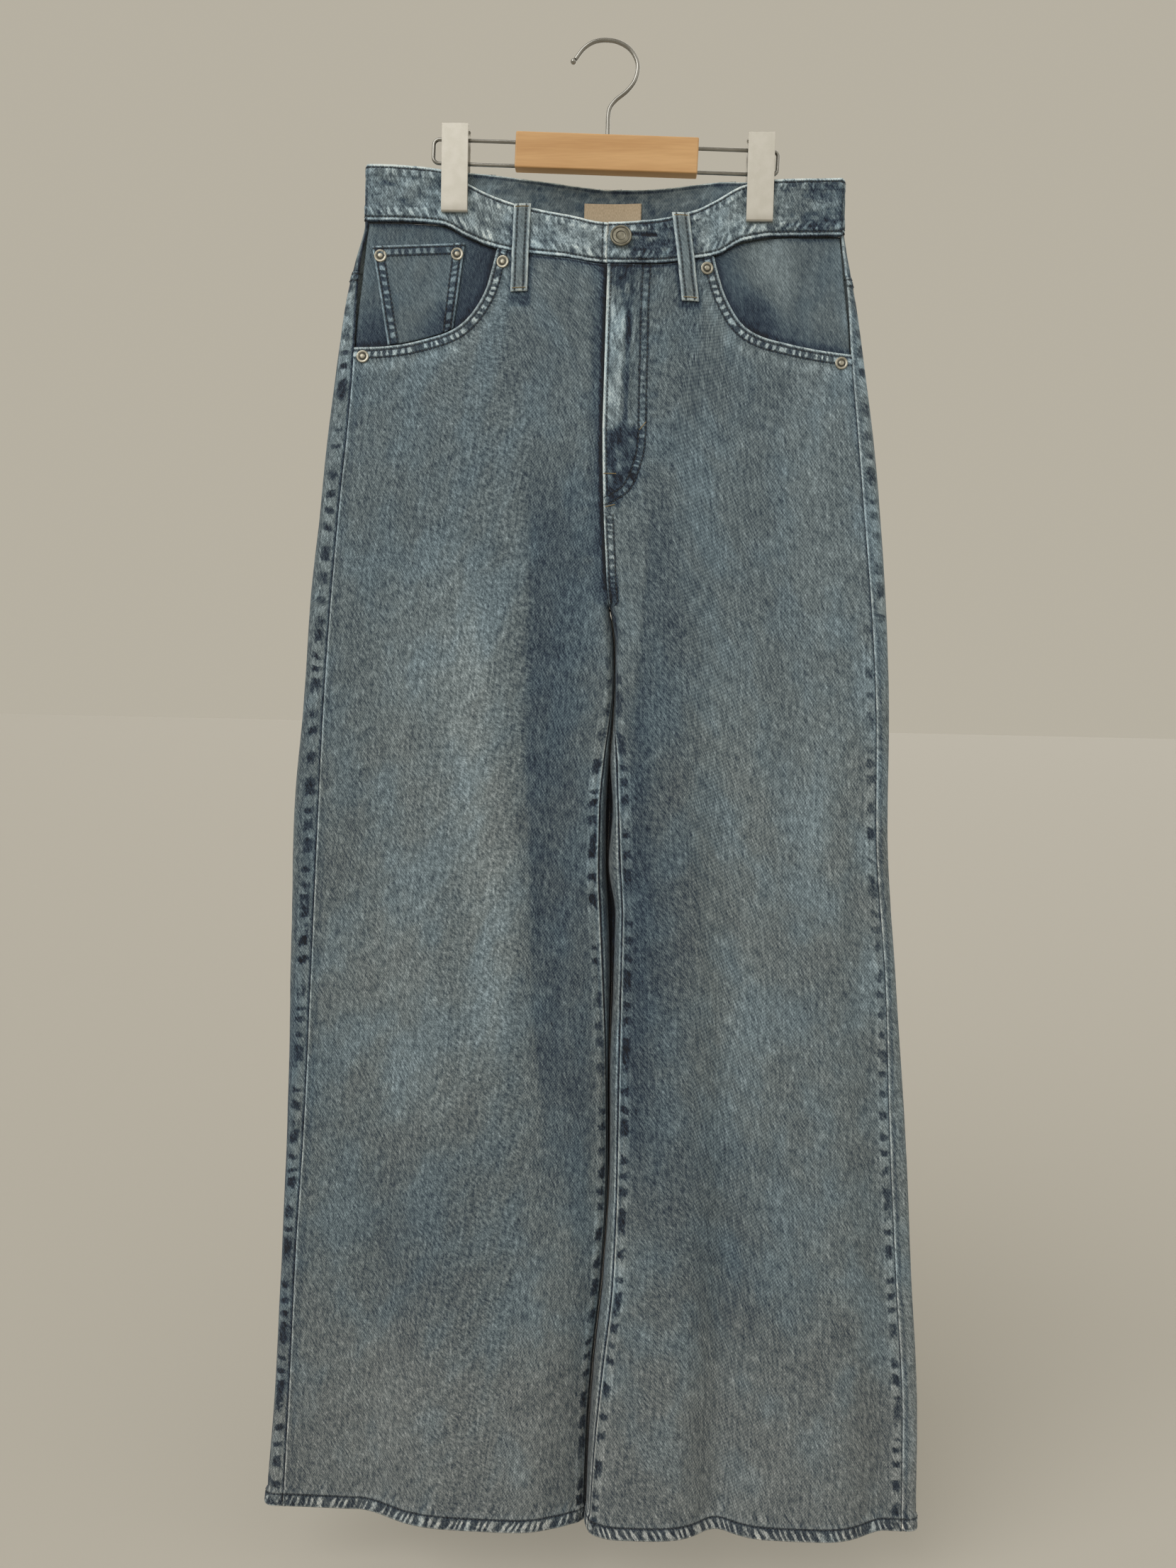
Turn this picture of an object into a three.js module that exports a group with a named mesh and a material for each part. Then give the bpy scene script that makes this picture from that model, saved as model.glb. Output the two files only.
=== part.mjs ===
// Loose fit jeans hung flat from a clip hanger. Millimetres, +Z up, front towards -Y.
// The origin is the inner top of the hook, where a peg carries the hanger.
import * as THREE from 'three';
import { mergeVertices } from 'three/addons/utils/BufferGeometryUtils.js';

// Cloth and seams
const DENIM = 1.6;
const POCKET_CLOTH = 1.2;
const WAISTBAND = 3.0;
const BAND_RISE = 0.9;
const SEAM_GAP = 0.15;
const LAP_GAP = 0.3;
const BAND_GAP = 0.8;
const HEM_RISE = 1.2;
const HEM_HEIGHT = 12;
const HEM_Z = -1200;
const FLY_RISE = 1.0;
const CROTCH = { x: 12.5, z: -440 };
const CROTCH_SEAM_LIFT = 1;
const PATCH_END_Z = -300;

// Side edges and side seams, seen from the front, at each height
const SIDES = [
  { z: -90, leftEdge: -187.0, leftSeam: -185.2, rightSeam: 186.9, rightEdge: 188.6 },
  { z: -140, leftEdge: -188.1, leftSeam: -186.2, rightSeam: 187.6, rightEdge: 189.5 },
  { z: -170, leftEdge: -195.5, leftSeam: -191.2, rightSeam: 191.4, rightEdge: 194.6 },
  { z: -200, leftEdge: -202.4, leftSeam: -193.6, rightSeam: 194.9, rightEdge: 201.2 },
  { z: -240, leftEdge: -208.2, leftSeam: -194.8, rightSeam: 198.0, rightEdge: 208.0 },
  { z: -300, leftEdge: -215.6, leftSeam: -198.4, rightSeam: 204.4, rightEdge: 217.7 },
  { z: -360, leftEdge: -221.3, leftSeam: -204.3, rightSeam: 211.0, rightEdge: 225.3 },
  { z: -440, leftEdge: -229.4, leftSeam: -210.8, rightSeam: 220.1, rightEdge: 233.2 },
  { z: -520, leftEdge: -234.4, leftSeam: -215.9, rightSeam: 226.6, rightEdge: 238.3 },
  { z: -620, leftEdge: -241.7, leftSeam: -220.4, rightSeam: 230.4, rightEdge: 241.2 },
  { z: -740, leftEdge: -243.9, leftSeam: -225.3, rightSeam: 242.6, rightEdge: 252.3 },
  { z: -860, leftEdge: -246.4, leftSeam: -230.4, rightSeam: 250.6, rightEdge: 264.7 },
  { z: -980, leftEdge: -250.9, leftSeam: -237.6, rightSeam: 260.4, rightEdge: 274.2 },
  { z: -1100, leftEdge: -256.3, leftSeam: -242.8, rightSeam: 270.7, rightEdge: 283.9 },
  { z: -1200, leftEdge: -263.6, leftSeam: -247.6, rightSeam: 273.5, rightEdge: 286.6 },
];

// Inner edges of both legs and their inseams, from the crotch to the hem
const INSIDES = [
  { z: -440, leftSeam: 12.5, leftEdge: 12.5, rightEdge: 12.5, rightSeam: 12.5 },
  { z: -448, leftSeam: 12.6, leftEdge: 13.5, rightEdge: 15.0, rightSeam: 16.0 },
  { z: -470, leftSeam: 15.0, leftEdge: 16.0, rightEdge: 18.2, rightSeam: 19.2 },
  { z: -505, leftSeam: 16.2, leftEdge: 17.2, rightEdge: 18.5, rightSeam: 19.5 },
  { z: -533, leftSeam: 13.6, leftEdge: 16.3, rightEdge: 17.6, rightSeam: 19.7 },
  { z: -560, leftSeam: 10.6, leftEdge: 14.7, rightEdge: 16.0, rightSeam: 21.9 },
  { z: -601, leftSeam: 8.0, leftEdge: 13.3, rightEdge: 18.9, rightSeam: 24.0 },
  { z: -645, leftSeam: 8.2, leftEdge: 14.4, rightEdge: 16.2, rightSeam: 26.3 },
  { z: -689, leftSeam: 10.6, leftEdge: 17.2, rightEdge: 22.9, rightSeam: 29.0 },
  { z: -748, leftSeam: 14.2, leftEdge: 19.6, rightEdge: 22.5, rightSeam: 29.1 },
  { z: -808, leftSeam: 17.4, leftEdge: 19.8, rightEdge: 21.2, rightSeam: 29.1 },
  { z: -907, leftSeam: 19.8, leftEdge: 21.5, rightEdge: 22.9, rightSeam: 29.5 },
  { z: -985, leftSeam: 17.2, leftEdge: 18.6, rightEdge: 20.0, rightSeam: 28.0 },
  { z: -1064, leftSeam: 10.8, leftEdge: 12.0, rightEdge: 13.4, rightSeam: 21.0 },
  { z: -1125, leftSeam: 8.0, leftEdge: 9.2, rightEdge: 10.6, rightSeam: 16.1 },
  { z: -1200, leftSeam: 7.0, leftEdge: 8.1, rightEdge: 9.5, rightSeam: 12.9 },
];

// Centre seams of the front, along the edge of the fly, and of the seat
const CENTRE = [
  { z: -90, fly: 5.0, seat: 8.0 },
  { z: -188, fly: 5.0, seat: 8.0 },
  { z: -215, fly: 4.0, seat: 8.0 },
  { z: -297, fly: 4.0, seat: 8.2 },
  { z: -361, fly: 6.0, seat: 9.0 },
  { z: -408, fly: 9.0, seat: 10.5 },
  { z: -425, fly: 10.2, seat: 11.5 },
  { z: -440, fly: 12.5, seat: 12.5 },
];

// Waistband edges across the garment
const BAND_EDGES = [
  { x: -190, frontTop: -95, frontBottom: -139, backTop: -95, backBottom: -138 },
  { x: -160, frontTop: -96, frontBottom: -139, backTop: -96, backBottom: -138 },
  { x: -128, frontTop: -99, frontBottom: -141, backTop: -97, backBottom: -139 },
  { x: -104, frontTop: -111, frontBottom: -151, backTop: -98.5, backBottom: -140 },
  { x: -89, frontTop: -118, frontBottom: -157, backTop: -99.5, backBottom: -141 },
  { x: -70, frontTop: -125, frontBottom: -162, backTop: -100.5, backBottom: -142 },
  { x: -27, frontTop: -135, frontBottom: -169, backTop: -103, backBottom: -145 },
  { x: 4, frontTop: -141, frontBottom: -174, backTop: -105.5, backBottom: -147 },
  { x: 39, frontTop: -138, frontBottom: -173, backTop: -106, backBottom: -147 },
  { x: 73, frontTop: -129, frontBottom: -167, backTop: -104.5, backBottom: -146 },
  { x: 89, frontTop: -121, frontBottom: -163, backTop: -103.5, backBottom: -145 },
  { x: 110, frontTop: -109.5, frontBottom: -152, backTop: -103.7, backBottom: -145 },
  { x: 134, frontTop: -104.5, frontBottom: -148, backTop: -103.9, backBottom: -145 },
  { x: 190, frontTop: -103, frontBottom: -147, backTop: -103.5, backBottom: -145 },
];

// Fullness of the front and seat below the band: how far the middle stands out
const FULLNESS = [
  { z: -90, front: 1.5, seat: 11 },
  { z: -141, front: 7, seat: 12 },
  { z: -178, front: 12, seat: 12 },
  { z: -360, front: 12, seat: 12 },
];
const RIM_DEPTH = 3.6;
const FULL_CENTRE = 3;
const FULL_HALF_WIDTH = 112;
const HIP = { topZ: -150, endZ: -340, front: 11, seat: 9, middleFront: 4, middleSeat: 4 };
const HEM_DEPTH = { front: 2.5, seat: 8 };
const FOLD_START_Z = -380;
const ROUND = { waist: 4, hip: 9, inner: 7, topZ: -150, endZ: -300 };

// Long folds of each leg: place across the leg from its outer edge (0) to its inner edge (1),
// reach on either side of the crest and height at the hem
const FOLDS = [
  { leg: 'left', side: 'front', place: 0.684, outerReach: 0.39, innerReach: 0.36, height: 21.5 },
  { leg: 'right', side: 'front', place: 0.854, outerReach: 0.275, innerReach: 0.22, height: 25 },
  { leg: 'right', side: 'front', place: 0.374, outerReach: 0.28, innerReach: 0.28, height: 18 },
  { leg: 'left', side: 'back', place: 0.42, outerReach: 0.34, innerReach: 0.36, height: 9 },
  { leg: 'right', side: 'back', place: 0.6, outerReach: 0.36, innerReach: 0.3, height: 8 },
];

// Front pocket openings, from the side seam up to the waistband
const SCOOPS = {
  left: [
    { x: -194.7, z: -238 }, { x: -171, z: -237 }, { x: -148, z: -233.5 }, { x: -120, z: -225 },
    { x: -104, z: -213 }, { x: -92, z: -194 }, { x: -86, z: -174 }, { x: -82.5, z: -160.1 },
  ],
  right: [
    { x: 197.8, z: -239 }, { x: 170, z: -235.5 }, { x: 146, z: -230.5 }, { x: 126, z: -225 },
    { x: 111, z: -215 }, { x: 99, z: -196 }, { x: 93, z: -180 }, { x: 88.5, z: -164.1 },
  ],
};
const POCKET_UNDERLAP = 6;

// Heights of the rows of leg points below the pocket patches
const LEG_ROWS = [
  -330, -360, -390, -412, -428, -440, -448, -460, -478, -500, -520, -545, -575, -610, -645, -680,
  -715, -760, -820, -880, -940, -1000, -1055, -1110, -1150, -1186.5, -1188, -1200,
];
const PATCH_ROWS = 5;
const FRONT_COLUMNS = 15;
const BACK_COLUMNS = 20;

// Yoke seam of the seat
const YOKE = { centreZ: -207, rise: 29, halfWidth: 195 };

// Hanger
const TILT = 0.027;
const HANGER = { x: 3, z: -71.7 };
const BLOCK = { width: 143.4, depth: 11, height: 27.6, leftX: -72, corner: 1.2 };
const WIRE_RADIUS = 1.5;
const HOOK_RADIUS = 1.7;
const ROD_Z = [-6.5, -24.7];
const LOOP_CORNER = 4.5;
const CLIP = { width: 20.8, height: 67.8, plate: 1.3, jaw: 18, gripY: 4.8, backY: 8.5 };
const CLIPS = [
  { name: 'left', x: -116.4, topZ: -64.8 },
  { name: 'right', x: 122.9, topZ: -69.9 },
];
const FRAME_REACH = { left: 136.9, right: 134 };
const HOOK_BALL = { x: -25.2, z: -14.6, radius: 2.3 };
const SLIDER = { width: 15, halfDepth: 6.9, topZ: -2.6, bottomZ: -27.9, hole: 2.1 };

// Fastenings
const BUTTON = { x: 15.1, z: -149.5, radius: 8.5, height: 3.4 };
const RIVET = { radius: 5, height: 1.3 };
const RIVETS = [
  { name: 'rivet_coin_outer', leg: 'left', x: -175, z: -166, lift: -0.4 },
  { name: 'rivet_coin_inner', leg: 'left', x: -114, z: -164, lift: -0.4 },
  { name: 'rivet_left_scoop', leg: 'left', x: -77.5, z: -170.5, lift: 0 },
  { name: 'rivet_left_side', leg: 'left', x: -187.5, z: -245.5, lift: 0 },
  { name: 'rivet_right_scoop', leg: 'right', x: 83, z: -174, lift: 0 },
  { name: 'rivet_right_side', leg: 'right', x: 190, z: -246, lift: 0 },
];
const LOOPS = [
  { name: 'belt_loop_front_left', side: 'front', topX: -62.5, bottomX: -64 },
  { name: 'belt_loop_front_right', side: 'front', topX: 61, bottomX: 70.5 },
  { name: 'belt_loop_back_left', side: 'back', topX: -92, bottomX: -92 },
  { name: 'belt_loop_back_centre', side: 'back', topX: 8, bottomX: 8 },
  { name: 'belt_loop_back_right', side: 'back', topX: 98, bottomX: 98 },
];
const LOOP = { width: 13.5, length: 68, thickness: 1.6, topRise: 0.8 };
const COIN_POCKET = {
  left: { x: -182, z: -158 }, right: { x: -108, z: -155 }, lowLeft: -168, lowRight: -116, clearance: 1.2,
};
const FLY_FACING = { topZ: -176, bottomZ: -352, width: 33, roundFrom: 0.82 };
const ZIP = { topZ: -177, bottomZ: -340, halfWidth: 14 };
const LABEL = { leftX: -15, rightX: 31, topZ: -118, bottomZ: -142, thickness: 1 };
const BACK_POCKET = { width: 150, height: 165, point: 22, topZ: -236, fromCentre: 32, taper: 10 };

const denim = new THREE.MeshStandardMaterial({ color: 0x6f8194, roughness: 0.92, metalness: 0 });
const denimDark = new THREE.MeshStandardMaterial({ color: 0x5d7084, roughness: 0.92, metalness: 0 });
const labelCloth = new THREE.MeshStandardMaterial({ color: 0xd8cdb8, roughness: 0.9, metalness: 0 });
const nickel = new THREE.MeshStandardMaterial({ color: 0xa9a8a0, roughness: 0.42, metalness: 0.9 });
const chrome = new THREE.MeshStandardMaterial({ color: 0xc9c9c7, roughness: 0.25, metalness: 1 });
const birch = new THREE.MeshStandardMaterial({ color: 0xc99f6a, roughness: 0.6, metalness: 0 });

const group = new THREE.Group();
const hanger = new THREE.Group();
hanger.position.set(HANGER.x, 0, HANGER.z);
hanger.rotation.y = TILT;
group.add(hanger);

function add(name, geometry, material, parent = group) {
  const mesh = new THREE.Mesh(geometry, material);
  mesh.name = name;
  parent.add(mesh);
  return mesh;
}

function mix(a, b, t) {
  return a + (b - a) * t;
}

function smooth(from, to, at) {
  const t = Math.min(Math.max((at - from) / (to - from), 0), 1);
  return t * t * (3 - 2 * t);
}

// A smooth curve through one column of a table, without overshoot
function column(rows, key, value) {
  const points = rows.map((row) => [row[key], row[value]]).sort((a, b) => a[0] - b[0]);
  const slope = (i) => (points[i + 1][1] - points[i][1]) / (points[i + 1][0] - points[i][0]);
  const last = points.length - 1;
  const tangents = points.map((point, i) => {
    if (i === 0) return slope(0);
    if (i === last) return slope(last - 1);
    const [before, after] = [slope(i - 1), slope(i)];
    return before * after <= 0 ? 0 : (2 * before * after) / (before + after);
  });
  return (at) => {
    const x = Math.min(Math.max(at, points[0][0]), points[last][0]);
    let i = 0;
    while (i < last - 1 && x > points[i + 1][0]) i += 1;
    const span = points[i + 1][0] - points[i][0];
    const t = (x - points[i][0]) / span;
    const rise = t * t * (3 - 2 * t);
    return mix(points[i][1], points[i + 1][1], rise)
      + span * (tangents[i] * t * (1 - t) ** 2 - tangents[i + 1] * t * t * (1 - t));
  };
}

// Curves that each leg is drawn from
function legCurves(name, sign) {
  return {
    name,
    sign,
    edge: column(SIDES, 'z', `${name}Edge`),
    seam: column(SIDES, 'z', `${name}Seam`),
    inner: column(INSIDES, 'z', `${name}Edge`),
    inseam: column(INSIDES, 'z', `${name}Seam`),
    folds: FOLDS.filter((fold) => fold.leg === name),
  };
}
const LEFT = legCurves('left', -1);
const RIGHT = legCurves('right', 1);
const fly = column(CENTRE, 'z', 'fly');
const seat = column(CENTRE, 'z', 'seat');
const bandEdge = {
  frontTop: column(BAND_EDGES, 'x', 'frontTop'),
  frontBottom: column(BAND_EDGES, 'x', 'frontBottom'),
  backTop: column(BAND_EDGES, 'x', 'backTop'),
  backBottom: column(BAND_EDGES, 'x', 'backBottom'),
};
const fullFront = column(FULLNESS, 'z', 'front');
const fullSeat = column(FULLNESS, 'z', 'seat');

function bell(t) {
  return Math.abs(t) >= 1 ? 0 : Math.cos((Math.PI / 2) * t) ** 2;
}

// A fold has a broad crest, so its place across the leg is squared before the bell
function foldDepth(leg, side, x, z) {
  const growth = Math.max((FOLD_START_Z - z) / (FOLD_START_Z - HEM_Z), 0) ** 1.15;
  const innerX = z < CROTCH.z ? leg.inner(z) : CROTCH.x;
  const across = (x - leg.edge(z)) / (innerX - leg.edge(z));
  let depth = 0;
  for (const fold of leg.folds.filter((one) => one.side === side)) {
    const from = across - fold.place;
    const t = from / (from < 0 ? fold.outerReach : fold.innerReach);
    depth += fold.height * growth * bell(t * t);
  }
  return depth;
}

// Depth of the cloth's outer face from the middle plane, before its edges are rounded
function fullDepth(leg, side, x, z) {
  const front = side === 'front';
  const bulge = (front ? fullFront(z) : fullSeat(z)) * bell((x - FULL_CENTRE) / FULL_HALF_WIDTH);
  const middle = (front ? HIP.middleFront : HIP.middleSeat) * bell((x - FULL_CENTRE) / 210);
  const hip = (front ? HIP.front : HIP.seat) + middle;
  const body = mix(RIM_DEPTH + bulge, hip, smooth(HIP.topZ, HIP.endZ, z));
  const hem = front ? HEM_DEPTH.front : HEM_DEPTH.seat;
  return mix(body, hem, smooth(CROTCH.z, HEM_Z, z)) + foldDepth(leg, side, x, z);
}

// How round the tube is at a point: 0 on its edge, 1 away from its edges
function roundness(leg, x, z) {
  const reach = mix(ROUND.waist, ROUND.hip, smooth(ROUND.topZ, ROUND.endZ, z));
  const fromEdge = Math.min(leg.sign * (leg.edge(z) - x) / reach, 1);
  const gap = z > CROTCH.z ? Math.hypot(x - CROTCH.x, z - CROTCH.z) : leg.sign * (x - leg.inner(z));
  const fromInner = Math.min(gap / ROUND.inner, 1);
  return (1 - (1 - fromEdge) ** 2) * (1 - (1 - fromInner) ** 2);
}

function section(leg, x, z) {
  const front = -fullDepth(leg, 'front', x, z);
  const back = fullDepth(leg, 'back', x, z);
  return { middle: (front + back) / 2, half: (back - front) / 2, round: roundness(leg, x, z) };
}

function clothY(leg, side, x, z) {
  const { middle, half, round } = section(leg, x, z);
  return middle + (side === 'front' ? -1 : 1) * half * Math.sqrt(Math.max(round, 0));
}

// The way out of the cloth, from the slope of the section's own equation
function outward(leg, x, y, z) {
  const level = (px, py, pz) => {
    const { middle, half, round } = section(leg, px, pz);
    return ((py - middle) / half) ** 2 - round;
  };
  const step = 0.05;
  return new THREE.Vector3(
    level(x + step, y, z) - level(x - step, y, z),
    level(x, y + step, z) - level(x, y - step, z),
    level(x, y, z + step) - level(x, y, z - step),
  ).normalize();
}

// A point on the cloth at x and z, moved out along the way out of it
function onCloth(leg, side, x, z, out = 0) {
  const y = clothY(leg, side, x, z);
  return new THREE.Vector3(x, y, z).addScaledVector(outward(leg, x, y, z), out);
}

// A closed wall between an outer and an inner sheet of points
function wall(columns, rows, outer, inner) {
  const sheets = [outer, inner];
  const positions = [];
  for (const sheet of sheets) {
    for (let j = 0; j < rows; j += 1) {
      for (let i = 0; i < columns; i += 1) positions.push(...sheet(i, j).toArray());
    }
  }
  const index = (i, j, face) => face * columns * rows + j * columns + i;
  const faces = [];
  const quad = (a, b, c, d) => faces.push(a, b, c, a, c, d);
  for (let j = 0; j < rows - 1; j += 1) {
    for (let i = 0; i < columns - 1; i += 1) {
      quad(index(i, j, 0), index(i + 1, j, 0), index(i + 1, j + 1, 0), index(i, j + 1, 0));
      quad(index(i, j, 1), index(i, j + 1, 1), index(i + 1, j + 1, 1), index(i + 1, j, 1));
    }
  }
  for (let i = 0; i < columns - 1; i += 1) {
    const end = rows - 1;
    quad(index(i, 0, 0), index(i, 0, 1), index(i + 1, 0, 1), index(i + 1, 0, 0));
    quad(index(i, end, 0), index(i + 1, end, 0), index(i + 1, end, 1), index(i, end, 1));
  }
  for (let j = 0; j < rows - 1; j += 1) {
    const end = columns - 1;
    quad(index(0, j, 0), index(0, j + 1, 0), index(0, j + 1, 1), index(0, j, 1));
    quad(index(end, j, 0), index(end, j, 1), index(end, j + 1, 1), index(end, j + 1, 0));
  }
  return closedGeometry(positions, faces);
}

function closedGeometry(positions, faces) {
  const corner = (i) => new THREE.Vector3().fromArray(positions, faces[i] * 3);
  let volume = 0;
  for (let i = 0; i < faces.length; i += 3) {
    volume += corner(i).dot(corner(i + 1).cross(corner(i + 2)));
  }
  const geometry = new THREE.BufferGeometry();
  geometry.setAttribute('position', new THREE.Float32BufferAttribute(positions, 3));
  geometry.setIndex(volume < 0 ? faces.reverse() : faces);
  geometry.computeVertexNormals();
  return geometry;
}

// A cloth piece whose points are found by place(i, j), which gives leg, side, x and z
function clothWall(columns, rows, place, outside, thickness) {
  const at = (i, j, out) => {
    const { leg, side, x, z } = place(i, j);
    return onCloth(leg, side, x, z, out);
  };
  return wall(
    columns,
    rows,
    (i, j) => at(i, j, outside(i, j)),
    (i, j) => at(i, j, outside(i, j) - thickness(i, j)),
  );
}

// Place round a leg: 0 at the outer edge, front to 1 at the inner edge, back to 2 and round again
function around(leg, z, q) {
  const side = q <= 1 || q > 2 ? 'front' : 'back';
  const centre = side === 'front' ? fly(z) : seat(z);
  const innerX = z < CROTCH.z ? leg.inner(z) : centre + leg.sign * SEAM_GAP;
  const x = mix(leg.edge(z), innerX, (1 - Math.cos(Math.PI * q)) / 2);
  return { leg, side, x, z };
}

function placeOf(leg, z, x, innerX) {
  const share = (x - leg.edge(z)) / (innerX - leg.edge(z));
  return Math.acos(1 - 2 * Math.min(Math.max(share, 0), 1)) / Math.PI;
}

function seamPlace(leg, z) {
  return placeOf(leg, z, leg.seam(z) + leg.sign * SEAM_GAP, z < CROTCH.z ? leg.inner(z) : fly(z));
}

// Front panels: the first columns start along the pocket opening, the rest along the band
const SCOOP_COLUMNS = 9;
function spread(i) {
  const [from, to] = [0.2, 0.913];
  const turn = (share) => Math.cos(Math.PI * mix(from, to, share));
  return (turn(0) - turn(i / (FRONT_COLUMNS - 1))) / (turn(0) - turn(1));
}

function scoopCurve(leg) {
  const points = SCOOPS[leg.name].map(({ x, z }) => new THREE.Vector2(x, z));
  points[0].x = leg.seam(points[0].y) - leg.sign * SEAM_GAP;
  return new THREE.SplineCurve(points);
}

function frontTop(leg, scoop, i) {
  if (i <= SCOOP_COLUMNS) return scoop.getPointAt(i / SCOOP_COLUMNS);
  const start = scoop.getPointAt(1).x;
  const share = (i - SCOOP_COLUMNS) / (FRONT_COLUMNS - 1 - SCOOP_COLUMNS);
  const x = mix(start, fly(-174) + leg.sign * SEAM_GAP, share);
  return new THREE.Vector2(x, bandEdge.frontBottom(x) - BAND_GAP);
}

function frontRow(leg, z, i) {
  const outer = leg.seam(z) - leg.sign * SEAM_GAP;
  const atCrotch = z === CROTCH.z;
  const middle = atCrotch ? CROTCH.x + leg.sign * 0.4 : fly(z) + leg.sign * SEAM_GAP;
  const inner = z < CROTCH.z ? leg.inseam(z) + leg.sign * SEAM_GAP : middle;
  const height = atCrotch && i === FRONT_COLUMNS - 1 ? z + CROTCH_SEAM_LIFT + LAP_GAP : z;
  return { leg, side: 'front', x: mix(outer, inner, spread(i)), z: height };
}

function frontPanel(leg) {
  const scoop = scoopCurve(leg);
  const place = (i, j) => {
    if (j > PATCH_ROWS) return frontRow(leg, LEG_ROWS[j - PATCH_ROWS - 1], i);
    const top = frontTop(leg, scoop, i);
    const end = frontRow(leg, PATCH_END_Z, i);
    const share = j / PATCH_ROWS;
    const z = mix(top.y, end.z, share);
    const outer = leg.seam(z) - leg.sign * SEAM_GAP;
    return { leg, side: 'front', x: i === 0 ? outer : mix(top.x, end.x, share), z };
  };
  const rise = (i, j) => {
    const { x, z } = place(i, j);
    if (z <= HEM_Z + HEM_HEIGHT) return HEM_RISE;
    const onFly = leg === RIGHT && z > -362 && x < 22;
    return onFly ? FLY_RISE : 0;
  };
  const rows = PATCH_ROWS + 1 + LEG_ROWS.length;
  return clothWall(FRONT_COLUMNS, rows, place, rise, (i, j) => DENIM + rise(i, j));
}

// Back panels run from the inseam on the front, round the inner edge, over the seat or the
// back of the leg and round the outer edge to the side seam
function backPlace(leg, z, i) {
  const end = 2 + seamPlace(leg, z);
  const inLeg = z < CROTCH.z;
  const start = inLeg ? placeOf(leg, z, leg.inseam(z) - leg.sign * SEAM_GAP, leg.inner(z)) : 1;
  if (z === CROTCH.z && i === 0) {
    const x = CROTCH.x + leg.sign * SEAM_GAP;
    return { leg, side: 'front', x, z: z + CROTCH_SEAM_LIFT - LAP_GAP };
  }
  const point = around(leg, z, mix(start, end, i / (BACK_COLUMNS - 1)));
  if (i === 0 && !inLeg) point.side = 'back';
  if (i === 0 && !inLeg) point.x = seat(z) + leg.sign * SEAM_GAP;
  return point;
}

function yokeSeam(x) {
  return YOKE.centreZ + YOKE.rise * Math.min(Math.abs(x - FULL_CENTRE) / YOKE.halfWidth, 1);
}

// One column of the seat between two edges that cross the back
function seatColumn(leg, i, share, topOf, bottomOf) {
  let z = -200;
  for (let pass = 0; pass < 4; pass += 1) {
    const { x } = backPlace(leg, z, i);
    z = mix(topOf(x), bottomOf(x), share);
  }
  return backPlace(leg, z, i);
}

function backPanel(leg) {
  const place = (i, j) => {
    if (j > PATCH_ROWS - 2) return backPlace(leg, LEG_ROWS[j - PATCH_ROWS + 1], i);
    const top = (x) => yokeSeam(x) - SEAM_GAP;
    return seatColumn(leg, i, j / (PATCH_ROWS - 2), top, () => PATCH_END_Z);
  };
  const rise = (i, j) => (place(i, j).z <= HEM_Z + HEM_HEIGHT ? HEM_RISE : 0);
  const rows = PATCH_ROWS - 1 + LEG_ROWS.length;
  return clothWall(BACK_COLUMNS, rows, place, rise, (i, j) => DENIM + rise(i, j));
}

function yoke(leg) {
  const rows = 4;
  const top = (x) => bandEdge.backBottom(x) - BAND_GAP;
  const bottom = (x) => yokeSeam(x) + SEAM_GAP;
  const place = (i, j) => seatColumn(leg, i, j / (rows - 1), top, bottom);
  return clothWall(BACK_COLUMNS, rows, place, () => 0, () => DENIM);
}

// Waistband: two fronts and one back, joined at the sides
function bandFront(leg) {
  const [columns, rows] = [18, 4];
  const place = (i, j) => {
    const share = i / (columns - 1);
    const guess = mix(leg.seam(-115), fly(-150), share);
    const z = mix(bandEdge.frontTop(guess), bandEdge.frontBottom(guess), j / (rows - 1));
    const outer = leg.seam(z) - leg.sign * SEAM_GAP;
    return { leg, side: 'front', x: mix(outer, fly(z) + leg.sign * SEAM_GAP, share), z };
  };
  return clothWall(columns, rows, place, () => BAND_RISE, () => WAISTBAND);
}

function bandBack() {
  const [half, rows] = [17, 4];
  const columns = 2 * half - 1;
  const place = (i, j) => {
    const leg = i < half ? LEFT : RIGHT;
    const fromSide = i < half ? i : columns - 1 - i;
    let z = -120;
    let point;
    for (let pass = 0; pass < 4; pass += 1) {
      const q = mix(2 + seamPlace(leg, z), 1, fromSide / (half - 1));
      point = around(leg, z, q);
      z = mix(bandEdge.backTop(point.x), bandEdge.backBottom(point.x), j / (rows - 1));
    }
    if (fromSide === half - 1) return { leg, side: 'back', x: seat(z), z };
    return { ...point, z };
  };
  return clothWall(columns, rows, place, () => BAND_RISE, () => WAISTBAND);
}

// A four-sided patch lying on a panel; at(u, v) gives x and z
function patch(leg, side, columns, rows, at, outside, thickness) {
  const place = (i, j) => ({ leg, side, ...at(i / (columns - 1), j / (rows - 1)) });
  return clothWall(columns, rows, place, outside, () => thickness);
}

function pocketFacing(leg) {
  const scoop = scoopCurve(leg);
  const at = (u, v) => {
    const edge = scoop.getPointAt(u);
    const along = scoop.getTangentAt(u);
    const lap = POCKET_UNDERLAP * Math.min(u * 6, 1);
    const lower = { x: edge.x - leg.sign * Math.abs(along.y) * lap, z: edge.y - Math.abs(along.x) * lap };
    const side = leg.seam(-141) - leg.sign * 1.2;
    const topX = mix(side, scoop.getPointAt(1).x + leg.sign * 2, u);
    const top = { x: topX, z: bandEdge.frontBottom(topX) - BAND_GAP - 0.5 };
    const z = mix(top.z, lower.z, v);
    const limit = leg.seam(z) - leg.sign * 1.0;
    const x = mix(top.x, lower.x, v);
    return { x: leg.sign * Math.min(leg.sign * x, leg.sign * limit), z };
  };
  return patch(leg, 'front', 12, 7, at, () => -DENIM - LAP_GAP, POCKET_CLOTH);
}

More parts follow.
